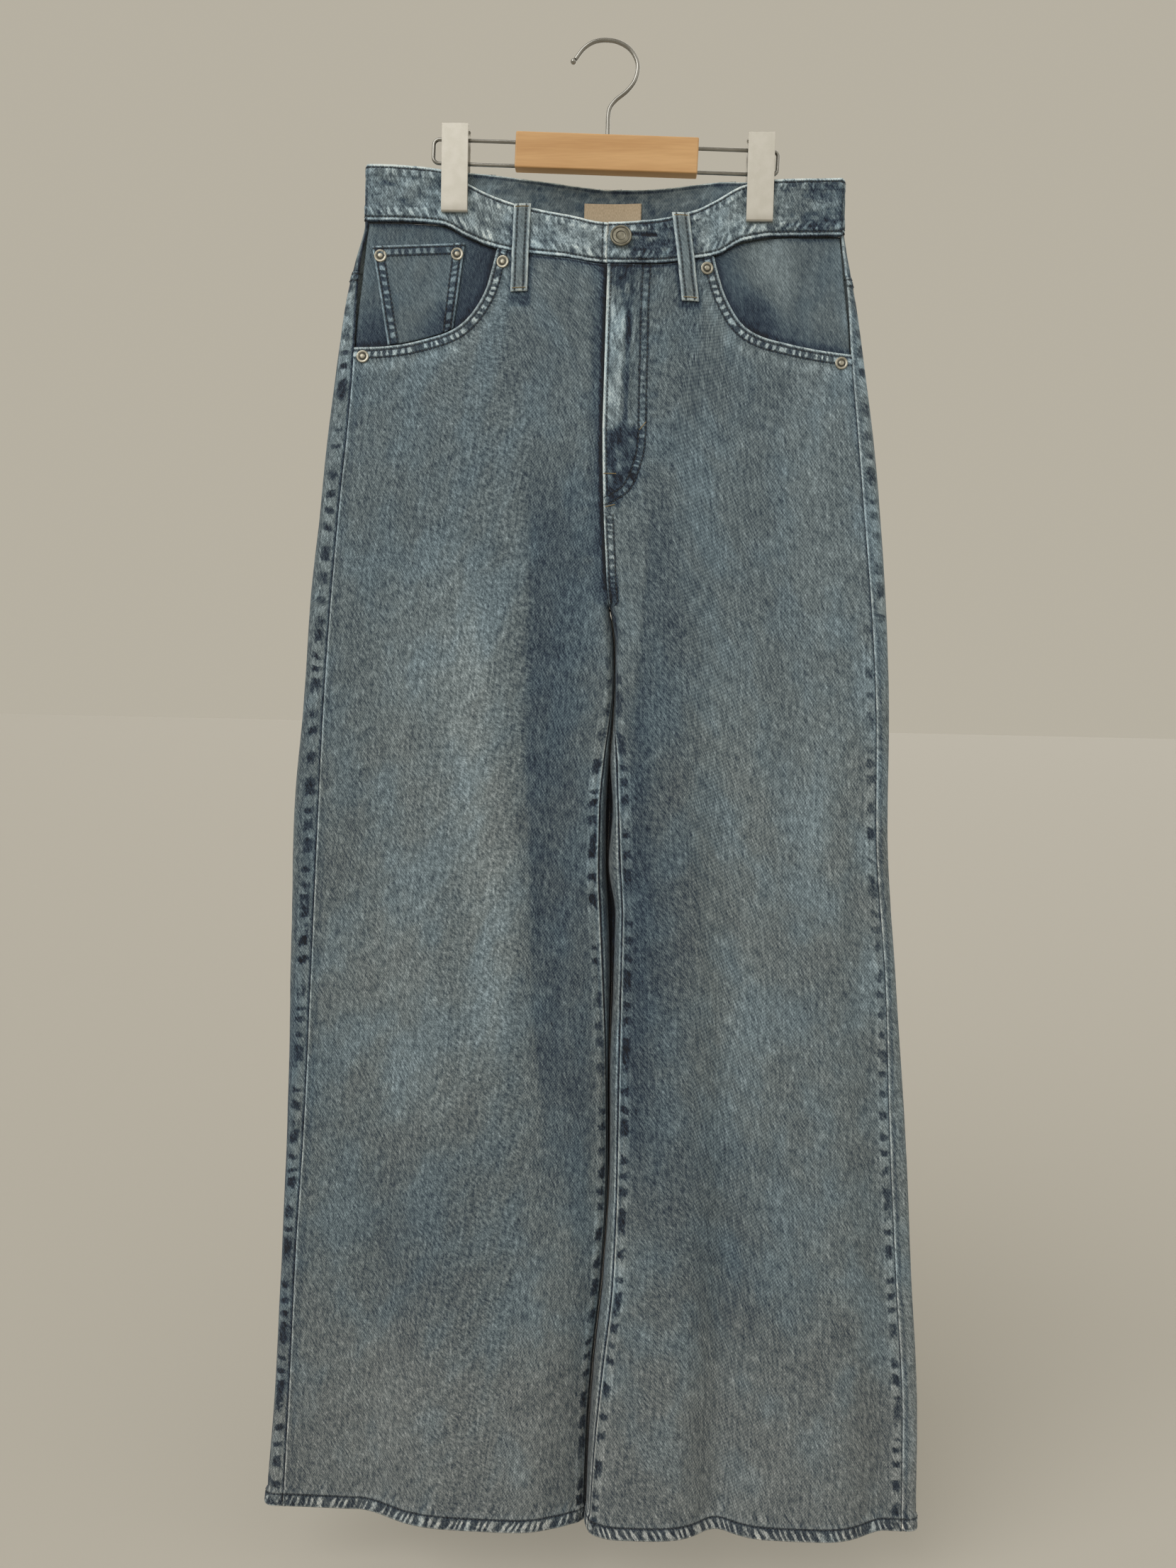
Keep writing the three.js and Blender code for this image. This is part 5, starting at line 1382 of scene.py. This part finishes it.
u, v = shares(40, 22)
place = Place(RIGHT.sign, False, mix(LABEL["left"], LABEL["right"], u), mix(LABEL["top"], LABEL["bottom"], v))
sheet = Sheet("label_ribbon", place, BAND_RISE - WAISTBAND - LAP_GAP)
sheet.lift += 0.5 * bell((sheet.x - LABEL["join"]) / 1.2) + 0.3 * np.sin(sheet.x / 5) * v
small_sheets[sheet.name] = make(sheet, LABEL["thick"], (label_cloth,), "label", "label_cloth")

u, v = shares(14, 60)
z = mix(ZIP["top"], ZIP["bottom"], v)
place = Place(RIGHT.sign, True, fly(z) + mix(-ZIP["half"], ZIP["half"], u), z)
sheet = Sheet("zip_tapes", place, -DENIM - 2 * LAP_GAP - POCKET_CLOTH)
sheet.lift += 0.5 * bell((u - 0.5) * 5)
small_sheets[sheet.name] = make(sheet, POCKET_CLOTH, (zip_tape,), "zip", "zip_tape")

# %% [markdown]
# Sewing thread is real relief on denim. One stitch is a small smooth grain, and each row is that grain repeated
# along a drawn line, set down on the finished cloth by looking for its nearest spot.

# %% Stitches
STITCH_PITCH, STITCH_LENGTH, THREAD = 3.3, 2.7, 0.42
STITCH_SINK = 0.35  # how far a grain stands over the cloth, as a share of its half thickness


def thread_finish(name, shown):
    finish = Finish(name)
    fibre = finish.noise(finish.object_place(), 900)
    tint = finish.between(finish.range(fibre, 0.3, 0.7), [0.75 * value for value in shown], shown)
    return finish.shade(Base_Color=tint, Roughness=0.75, Normal=finish.bump(fibre, 0.3, 0.0002))


slate_thread = thread_finish("slate_thread", (66, 73, 78))
tan_thread = thread_finish("tan_thread", (158, 140, 104))

grain = bmesh.new()
bmesh.ops.create_icosphere(grain, subdivisions=1, radius=1)
GRAIN_POINTS = np.array([v.co for v in grain.verts])
GRAIN_FACES = np.array([[v.index for v in face.verts] for face in grain.faces])
grain.free()


def surface_of(sheets):
    """One search tree of the outer faces of some sheets."""
    points, faces = [], []
    for mesh in (sheet.piece.data for sheet in sheets):
        start = len(points)
        points += [v.co.copy() for v in mesh.vertices]
        faces += [[start + i for i in face.vertices] for face in mesh.polygons]
    return BVHTree.FromPolygons(points, faces)


def sew(name, tree, lines, thread, slot, length=STITCH_LENGTH, pitch=STITCH_PITCH, thick=THREAD):
    """Rows of stitches along lines of points near the cloth, joined into one mesh."""
    places, frames = [], []
    for line in lines:
        far = lengths(line)
        count = max(int(far[-1] / pitch), 1)
        spots = np.stack([np.interp((np.arange(count) + 0.5) / count * far[-1], far, line[:, k])
                          for k in range(3)], axis=1)
        ways = np.gradient(spots, axis=0) if count > 1 else (line[-1:] - line[:1])
        for spot, way in zip(spots, ways):
            place, normal, _, _ = tree.find_nearest(Vector(spot * MM))
            way = Vector(way) - normal * Vector(way).dot(normal)
            if way.length > 0:
                way.normalize()
                places.append(np.array(place) / MM + np.array(normal) * thick * STITCH_SINK)
                frames.append([way * length / 2, normal.cross(way) * thick, normal * thick])
    frames = np.array(frames)
    points = np.array(places)[:, None, :] + GRAIN_POINTS[None] @ frames
    starts = np.arange(len(places))[:, None, None] * len(GRAIN_POINTS)
    mesh = bpy.data.meshes.new(name)
    mesh.from_pydata((points.reshape(-1, 3) * MM).tolist(), [], (GRAIN_FACES[None] + starts).reshape(-1, 3).tolist())
    mesh.shade_smooth()
    mesh.materials.append(thread)
    put(mesh, slot)
    print(name, len(places), "stitches,", len(mesh.polygons), "faces")


print("points of one stitch:", len(GRAIN_POINTS))

# %% [markdown]
# The lines to sew along come from two sources. Some are drawn lines, laid on the front. The others are read off a
# sheet: the line where a distance, such as that from its edge, has the value that the row of sewing has.

# %% Lines to sew along
ON_FRONT_RISE = 1.5
NEAR_HEM, NO_HEM = -1150, 99


def on_front(line):
    """A line of x and z laid on the fronts."""
    x, z = np.array(line, float).T
    return laid(Place(np.where(x < 0, LEFT.sign, RIGHT.sign), True, x, z), ON_FRONT_RISE)[0]


def across_line(sheet, value, level):
    """The line where a distance from the top or the foot has a given value, one point in each column."""
    return level_line(sheet.points, value, level)


def upright_line(sheet, value, level):
    """The line where a distance from a side has a given value, one point in each row."""
    return level_line(sheet.points.transpose(1, 0, 2), value.T, level)


def level_line(spots, table, level):
    points = []
    for k in range(table.shape[1]):
        column = table[:, k]
        order = np.argsort(column)
        if column.min() <= level <= column.max():
            points.append([np.interp(level, column[order], spots[order, k, axis]) for axis in range(3)])
    return np.array(points)


def side_lines(sheet, level):
    return [upright_line(sheet, far, level) for far in (sheet.across, sheet.back_across)]


def hem_line(sheet):
    return across_line(sheet, np.where(sheet.z < NEAR_HEM, sheet.z - HEM_Z, NO_HEM), HEM_ROW)


def below_scoop(leg, away):
    """The pocket's edge moved away into the front."""
    both = [moved_line(SCOOP_LINE[leg.name], way * away) for way in (1, -1)]
    return min(both, key=lambda line: line[len(line) // 2, 1])


print("sewing along the left pocket edge:", round(lengths(below_scoop(LEFT, SCOOP_LAP.rows[0]))[-1]), "mm")

# %% [markdown]
# The fronts are sewn along the pocket edges, the hems, the fly and the seam below it. The backs are sewn along the
# hems, the yoke seam and the seat seam.

# %% Stitches of the fronts and backs
UPRIGHT_ROWS = (  # of the fly and the seam below it: distance from the edge, top, bottom
    (FLY_EDGE_ROW, -180, -350), (BELOW_FLY_ROWS[0], -368, -436), (BELOW_FLY_ROWS[1], -366, -436),
)
YOKE_END, NO_YOKE = -330, 999

front_rows = []
for leg in LEGS:
    front_rows += [on_front(below_scoop(leg, away)[2:-3]) for away in SCOOP_LAP.rows]
    front_rows.append(hem_line(front_sheets[leg.name]))
front_rows += [on_front(fly_line), on_front(fly_inner_line[:-2])]
for away, top, bottom in UPRIGHT_ROWS:
    z = np.linspace(top, bottom, 60)
    front_rows.append(on_front(np.stack((fly(z) + away, z), axis=1)))
fronts_tree = surface_of(front_sheets.values())
sew("front_sewing", fronts_tree, front_rows, slate_thread, "denim")

back_rows = []
for sheet in back_sheets.values():
    back_rows.append(hem_line(sheet))
    for away in SEAM_LAP.rows:
        back_rows.append(across_line(sheet, np.where(sheet.z > YOKE_END, sheet.down, NO_YOKE), away))
        centre = upright_line(sheet, sheet.across, away)
        back_rows.append(centre[centre[:, 2] > CROTCH_Z + 6])
sew("back_sewing", surface_of(back_sheets.values()), back_rows, slate_thread, "denim")

# %% [markdown]
# The waistband, the pockets and the belt loops are sewn along their edges. Short dense rows of tan thread, the tacks,
# hold the ends of the loops and the strained places of the fly.

# %% Stitches of the small pieces
TACK = {"length": 0.9, "pitch": 0.55, "thick": 0.42}
FLY_TACK = {"length": 1.1, "pitch": 0.55, "thick": 0.45}
FLY_TACKS = (((5.5, -335.5), (15.5, -335.5)), ((7.5, -361.5), (15.0, -359.5)), ((33.0, -301.0), (38.0, -295.0)))

band_rows = []
for sheet in band_sheets.values():
    band_rows += [across_line(sheet, sheet.down, BAND_TOP_ROW), across_line(sheet, sheet.up, BAND_LOW_ROW)]
band_rows.append(upright_line(band_sheets["left"], band_sheets["left"].back_across, BAND_END_ROW))
sew("waistband_sewing", surface_of(band_sheets.values()), band_rows, slate_thread, "denim")

coin = small_sheets["coin_pocket_denim"]
pocket_rows = []
for away in COIN_LAP.rows:
    pocket_rows += [across_line(coin, coin.down, away), *side_lines(coin, away)]
sew("coin_pocket_sewing", surface_of([coin]), pocket_rows, slate_thread, "pocket_denim")

back_pockets = [small_sheets[f"back_pocket_{leg.name}_denim"] for leg in LEGS]
pocket_rows = []
for sheet in back_pockets:
    for away in POCKET_LAP.rows:
        pocket_rows += [*side_lines(sheet, away), across_line(sheet, sheet.up, away)]
    pocket_rows += [across_line(sheet, sheet.down, away) for away in POCKET_TOP_LAP.rows]
sew("back_pocket_sewing", surface_of(back_pockets), pocket_rows, slate_thread, "denim")

loops = [small_sheets[f"{name}_denim"] for name, *_ in LOOPS]
loops_tree = surface_of(loops)
loop_rows = [line for sheet in loops for line in side_lines(sheet, LOOP_ROW)]
tack_rows = [across_line(sheet, far, TACK_ROW)[2:-2] for sheet in loops for far in (sheet.down, sheet.up)]
sew("belt_loop_sewing", loops_tree, loop_rows, slate_thread, "denim")
sew("belt_loop_tacks", loops_tree, tack_rows, tan_thread, "denim", **TACK)
sew("fly_tacks", fronts_tree, [on_front(tack) for tack in FLY_TACKS], tan_thread, "denim", **FLY_TACK)

# %% [markdown]
# The metal is nickel on the button and the rivets, chrome on the wires and satin steel on the clips. Each has the
# same two marks, at its own scale: slow stains that dull its colour and fine scratches that roughen it.

# %% Metal finishes
def metal_finish(name, bright, dull, roughness, scale, spread=0.22):
    finish = Finish(name)
    place = finish.object_place()
    stain, scratch = finish.noise(place, scale, 3.0), finish.noise(place, scale * 12)
    tint = finish.between(finish.range(stain, 0.35, 0.65), dull, bright)
    rough = finish.range(scratch, 0.3, 0.7, roughness * (1 - spread), roughness * (1 + spread))
    return finish.shade(Base_Color=tint, Metallic=1.0, Roughness=rough,
                        Normal=finish.bump(scratch, 0.1 * spread, 0.0001))


nickel = metal_finish("brushed_nickel", (142, 139, 126), (118, 115, 102), 0.5, 180)
rivet_nickel = metal_finish("rivet_nickel", (184, 180, 166), (150, 146, 132), 0.42, 220)
chrome = metal_finish("chrome_wire", (158, 156, 150), (140, 138, 132), 0.22, 40)
clip_steel = metal_finish("satin_steel", (209, 206, 198), (204, 201, 192), 0.62, 110, 0.04)
dark_nickel = metal_finish("dark_nickel", (96, 94, 86), (70, 68, 62), 0.5, 200)
print("metals:", *(metal.name for metal in (nickel, rivet_nickel, chrome, clip_steel, dark_nickel)))

# %% [markdown]
# Round metal parts are turned: a side view is spun about the middle. The fly button has plain rings and the rivets
# a raised centre, and both stand on the cloth, turned along the way out of it.

# %% Button and rivets
SAME_SPOT = 1e-4
BUTTON_SIDE = (
    (0, 0), (4.6, 0), (5.1, 1.0), (8.2, 1.5), (8.5, 1.9), (8.5, 2.7), (8.3, 3.15), (7.9, 3.4), (7.3, 3.4),
    (7.0, 3.15), (6.7, 2.95), (6.2, 2.9), (5.6, 3.0), (4.4, 3.08), (3.9, 3.12), (3.6, 2.9), (3.3, 2.7), (2.4, 2.65),
    (1.0, 2.7), (0, 2.72),
)
RIVET_SIDE = (
    (0, 0), (4.9, 0), (5.0, 0.35), (4.85, 0.75), (4.4, 0.92), (3.9, 0.85), (3.3, 0.62), (2.6, 0.55), (2.2, 0.6),
    (1.95, 0.95), (1.6, 1.25), (1.0, 1.36), (0, 1.38),
)
BUTTON_RINGS, RIVET_RINGS = ((6.3, 6.9), (3.35, 3.8)), ((1.9, 3.4),)  # where dirt darkens the hollows
BUTTON_PLACE, RIVET_LIFT = (15.1, -154.0), 0.25
RIVETS = (  # name, leg, x, z, how far from the cloth
    ("rivet_coin_outer", LEFT, -175, -166, -0.4), ("rivet_coin_inner", LEFT, -114, -164, -0.4),
    ("rivet_left_scoop", LEFT, -77.5, -170.5, 0), ("rivet_left_side", LEFT, -187.5, -245.5, 0),
    ("rivet_right_scoop", RIGHT, 83, -174, 0), ("rivet_right_side", RIGHT, 190, -246, 0),
)


def turned(name, profile, steps, finishes, dark_rings):
    """A side view, in millimetres of radius and height, spun into a closed round piece."""
    bm = bmesh.new()
    verts = [bm.verts.new((radius, 0, height)) for radius, height in profile]
    edges = [bm.edges.new(pair) for pair in zip(verts[:-1], verts[1:])]
    bmesh.ops.spin(bm, geom=verts + edges, cent=(0, 0, 0), axis=(0, 0, 1), angle=2 * math.pi, steps=steps,
                   use_merge=True)
    bmesh.ops.remove_doubles(bm, verts=bm.verts, dist=SAME_SPOT)
    bmesh.ops.recalc_face_normals(bm, faces=bm.faces)
    for face in bm.faces:
        face.smooth = True
        radius = face.calc_center_median().xy.length
        face.material_index = int(any(low < radius < high for low, high in dark_rings))
    return mesh_of(bm, name, finishes)


def stand_on(mesh, point, way, node, slot):
    """Puts a turned piece on the cloth, with its place in its mesh."""
    turn = Vector((0, 0, 1)).rotation_difference(Vector(way)).to_matrix().to_4x4()
    mesh.transform(Matrix.Translation(Vector(point) * MM) @ turn @ Matrix.Scale(MM, 4))
    put(mesh, slot, node)


def spot(leg, x, z, out):
    points, ways = laid(Place(leg.sign, True, np.array([x + 0.0]), np.array([z + 0.0])), out)
    return points[0], ways[0]


stand_on(turned("fly_button", BUTTON_SIDE, 48, (nickel, dark_nickel), BUTTON_RINGS),
         *spot(RIGHT, *BUTTON_PLACE, BAND_RISE + LAP_GAP), "button", "nickel")
for name, leg, x, z, lift in RIVETS:
    mesh = turned(f"{name}_metal", RIVET_SIDE, 32, (rivet_nickel, dark_nickel), RIVET_RINGS)
    stand_on(mesh, *spot(leg, x, z, lift + LAP_GAP + RIVET_LIFT), name, "nickel")
print("button and", len(RIVETS), "rivets")

# %% [markdown]
# The hanger: a bent wire hook with a ball end, a birch block, two wire frames that the clips slide on, and the
# clips. Wire is a curve with a round bevel, made a mesh. The block and the clips have softened edges.

# %% Wire
HANGER_X, HANGER_Z, TILT = 3, -71.7, 0.027
WIRE_RADIUS, HOOK_RADIUS = 1.5, 1.7
HOOK = ((-23.6, -12.8), (-17.2, -4.6), (-9.2, 0.4), (0, 1.7), (9.6, 0.2), (18.6, -4.9), (24.3, -13.3), (25.2, -21),
        (22.6, -29.8), (16.6, -37.2), (8.9, -43.4), (4.3, -49.2), (2.9, -55.8), (2.8, -63), (2.8, -70.9))
ROD_Z, CORNER = (-6.5, -24.7), 4.5
FRAME_ENDS = {"left": (-1, 72.3, 136.9), "right": (1, 71.7, 134)}
INTO_BLOCK = 1.5
BALL_RADIUS, BALL_PLACE = 2.3, (-25.2, 0, -14.6)
hanger_turn = Matrix.Translation(Vector((HANGER_X, 0, HANGER_Z)) * MM) @ Matrix.Rotation(TILT, 4, "Y")


def finished(mesh, name, finish, node, slot):
    mesh.name = name
    mesh.materials.clear()
    mesh.materials.append(finish)
    mesh.shade_smooth()
    return put(mesh, slot, node)


def wire(name, line, radius, node, place=Matrix.Identity(4)):
    """A round wire along a line of x and z in millimetres."""
    data = bpy.data.curves.new(name, "CURVE")
    data.dimensions, data.bevel_depth, data.bevel_resolution = "3D", radius * MM, 6
    data.use_fill_caps = True
    spline = data.splines.new("POLY")
    spline.points.add(len(line) - 1)
    for point, (x, z) in zip(spline.points, line):
        point.co = (x * MM, 0, z * MM, 1)
    holder = bpy.data.objects.new(name, data)
    bpy.context.scene.collection.objects.link(holder)
    mesh = bpy.data.meshes.new_from_object(holder.evaluated_get(bpy.context.evaluated_depsgraph_get()))
    bpy.data.objects.remove(holder)
    mesh.transform(place)
    return finished(mesh, name, chrome, node, "chrome_wire")


def frame_line(sign, start, reach):
    upper, lower = ROD_Z
    middle, quarter = reach - CORNER, np.linspace(0, np.pi / 2, 9)
    bend = [(middle + CORNER * math.sin(a), upper - CORNER + CORNER * math.cos(a)) for a in quarter]
    back = [(middle + CORNER * math.cos(a), lower + CORNER - CORNER * math.sin(a)) for a in quarter]
    ends = start - INTO_BLOCK
    return [(sign * x, z) for x, z in [(ends, upper), *bend, *back, (ends, lower)]]


wire("hook_wire", smooth_line(HOOK, 10), HOOK_RADIUS, "hook")
for side, (sign, start, reach) in FRAME_ENDS.items():
    wire(f"wire_frame_{side}_chrome", frame_line(sign, start, reach), WIRE_RADIUS, f"wire_frame_{side}", hanger_turn)
bm = bmesh.new()
bmesh.ops.create_icosphere(bm, subdivisions=4, radius=BALL_RADIUS * MM,
                           matrix=Matrix.Translation(Vector(BALL_PLACE) * MM))
finished(mesh_of(bm, "hook_ball"), "hook_ball_chrome", chrome, "hook_ball", "chrome_wire")
print("hook and", len(FRAME_ENDS), "wire frames")

# %% [markdown]
# The block is planed birch with eased edges. Its figure is long and slow along the block, and finer fibres run the
# same way, so both are noise stretched along its length.

# %% Birch block
BLOCK = {"left": -72, "width": 143.4, "depth": 11, "height": 27.6, "eased": 1.2}


def birch_finish():
    finish = Finish("birch")
    place = finish.object_place()
    figure = finish.noise(finish.stretched(place, (6, 60, 60)), 1.0, 4.0)
    fibre = finish.noise(finish.stretched(place, (40, 900, 900)), 1.0, 3.0)
    grain_share = finish.range(figure, 0.3, 0.7) * 0.7 + finish.range(fibre, 0.3, 0.7) * 0.3
    tint = finish.between(grain_share, (192, 146, 94), (216, 174, 122))
    return finish.shade(Base_Color=tint, Roughness=finish.range(fibre, 0.2, 0.8, 0.5, 0.62), Coat_Weight=0.1,
                        Normal=finish.bump(fibre, 0.12, 0.0003))


def eased(bm, edges, width, segments):
    """Softens edges, then turns the millimetres into metres."""
    bmesh.ops.bevel(bm, geom=edges, offset=width, segments=segments, profile=0.5, affect="EDGES", material=-1)
    bmesh.ops.scale(bm, vec=(MM,) * 3, verts=bm.verts)


def box_mesh(low, high, width):
    """A box between two corners, in millimetres, with rounded edges, turned with the hanger."""
    bm = bmesh.new()
    size, middle = Vector(high) - Vector(low), (Vector(high) + Vector(low)) / 2
    bmesh.ops.create_cube(bm, size=1, matrix=Matrix.Translation(middle) @ Matrix.Diagonal((*size, 1)))
    eased(bm, bm.edges[:], width, 3)
    mesh = mesh_of(bm, "box")
    mesh.transform(hanger_turn)
    return mesh


def even(piece):
    piece.modifiers.new("even shading", "WEIGHTED_NORMAL").keep_sharp = False


depth = BLOCK["depth"] / 2
mesh = box_mesh((BLOCK["left"], -depth, -BLOCK["height"]), (BLOCK["left"] + BLOCK["width"], depth, 0), BLOCK["eased"])
even(finished(mesh, "hanger_block_birch", birch_finish(), "hanger_block", "birch"))
print("block width:", BLOCK["width"], "mm")

# %% [markdown]
# Each clip is two bent steel plates on a slider. A plate is drawn in side view, pulled across to its width and its
# long edges softened: flat and thin above, thick at the jaw that grips the band.

# %% Clips
CLIPS = {"left": (-116.4, -64.8), "right": (122.9, -69.9)}  # middle x, top z
CLIP_WIDTH, CLIP_HEIGHT, JAW, PLATE, GRIP_Y, BACK_Y = 20.8, 67.8, 18, 1.3, 4.8, 8.5
SLIDER = {"width": 15, "half": 6.9, "top": -2.6, "bottom": -27.9, "eased": 0.9}
PLATE_EASED, SAME_X = 0.35, 1e-6


def clip_plate(side, x, top):
    back = BACK_Y
    outline = [
        (back - 1.2, 0), (back, -1.2), (back, -CLIP_HEIGHT * 0.5), (back - 0.3, -CLIP_HEIGHT * 0.9),
        (back - 0.9, -CLIP_HEIGHT + 1.5), (back - 1.6, -CLIP_HEIGHT), (GRIP_Y, -CLIP_HEIGHT),
        (GRIP_Y, -CLIP_HEIGHT + JAW), (back - PLATE, -CLIP_HEIGHT + JAW + 5), (back - PLATE, -1.4),
        (back - PLATE - 2.5, -1.4), (back - PLATE - 2.5, 0),
    ]
    bm = bmesh.new()
    verts = [bm.verts.new((x - CLIP_WIDTH / 2, side * y, top + z)) for y, z in outline]
    face = bm.faces.new(verts)
    pulled = bmesh.ops.extrude_face_region(bm, geom=[face])["geom"]
    moved = [v for v in pulled if isinstance(v, bmesh.types.BMVert)]
    bmesh.ops.translate(bm, verts=moved, vec=(CLIP_WIDTH, 0, 0))
    bmesh.ops.recalc_face_normals(bm, faces=bm.faces)
    eased(bm, [edge for edge in bm.edges if abs(edge.verts[0].co.x - edge.verts[1].co.x) < SAME_X], PLATE_EASED, 2)
    return mesh_of(bm, "plate")


for side, (x, top) in CLIPS.items():
    for name, way in (("front", -1), ("back", 1)):
        node = f"clip_{name}_{side}"
        even(finished(clip_plate(way, x, top), f"{node}_steel", clip_steel, node, "clip_steel"))
    middle, half = x - HANGER_X, SLIDER["width"] / 2
    mesh = box_mesh((middle - half, -SLIDER["half"], SLIDER["bottom"]),
                    (middle + half, SLIDER["half"], SLIDER["top"]), SLIDER["eased"])
    node = f"clip_slider_{side}"
    even(finished(mesh, f"{node}_chrome", chrome, node, "chrome_wire"))
print(len(CLIPS), "clips of", CLIP_WIDTH, "by", CLIP_HEIGHT, "mm")

# %% [markdown]
# The size that every piece of cloth is cut to is worked out here. The width and length are those of the piece laid
# flat, and the area is its true outline's, which isn't a rectangle. A leg's back runs round both of its edges.

# %% What each piece is cut to
LEAST_SHARE = 0.31  # of the width times the length, as the area of an outline
all_sheets = [*front_sheets.values(), *back_sheets.values(), *yoke_sheets.values(), *band_sheets.values(),
              *small_sheets.values()]
for sheet in all_sheets:
    width, length = round(sheet.across.max() * MM, 3), round(sheet.down.max() * MM, 3)
    share = min(max(sheet.area / (width * length), LEAST_SHARE), 1.0)
    share * width * length
print(len(all_sheets), "sheets declared")

# %% [markdown]
# A plain pale floor and a pale sky of light keep the jeans the only subject. Very wide suns light the cloth and the
# floor evenly: the main one high in front on the left, a weaker one on the right and one behind.

# %% Floor and light
FLOOR_Z, FLOOR_SIZE, FLOOR_COLOUR = -1.262, 60, (182, 178, 169)
SKY_COLOUR, SKY_STRENGTH = (204, 197, 181), 0.78

bm = bmesh.new()
bmesh.ops.create_grid(bm, x_segments=1, y_segments=1, size=FLOOR_SIZE, matrix=Matrix.Translation((0, 0, FLOOR_Z)))
floor_finish = Finish("floor").shade(Base_Color=linear(*FLOOR_COLOUR), Roughness=0.95)
floor = bpy.data.objects.new("floor", mesh_of(bm, "floor", [floor_finish]))
bpy.context.scene.collection.objects.link(floor)

world = bpy.data.worlds.new("studio")
world.use_nodes = True
sky = world.node_tree.nodes["Background"].inputs
sky["Color"].default_value, sky["Strength"].default_value = linear(*SKY_COLOUR), SKY_STRENGTH
bpy.context.scene.world = world
bpy.context.scene.view_settings.view_transform = "Standard"

SUNS = (  # way that the light comes from, how wide it is in degrees, strength
    ((-0.55, -0.72, 0.62), 50, 1.45), ((0.7, -0.6, 0.5), 70, 0.45), ((0.3, 0.9, 0.45), 70, 1.1),
)
for number, (way, width, strength) in enumerate(SUNS):
    data = bpy.data.lights.new(f"soft_sun_{number}", "SUN")
    data.angle, data.energy = math.radians(width), strength
    lamp = bpy.data.objects.new(f"soft_sun_{number}", data)
    bpy.context.scene.collection.objects.link(lamp)
    lamp.rotation_euler = (-Vector(way)).to_track_quat("-Z", "Y").to_euler()
print(len(SUNS), "suns, floor at", FLOOR_Z, "m")
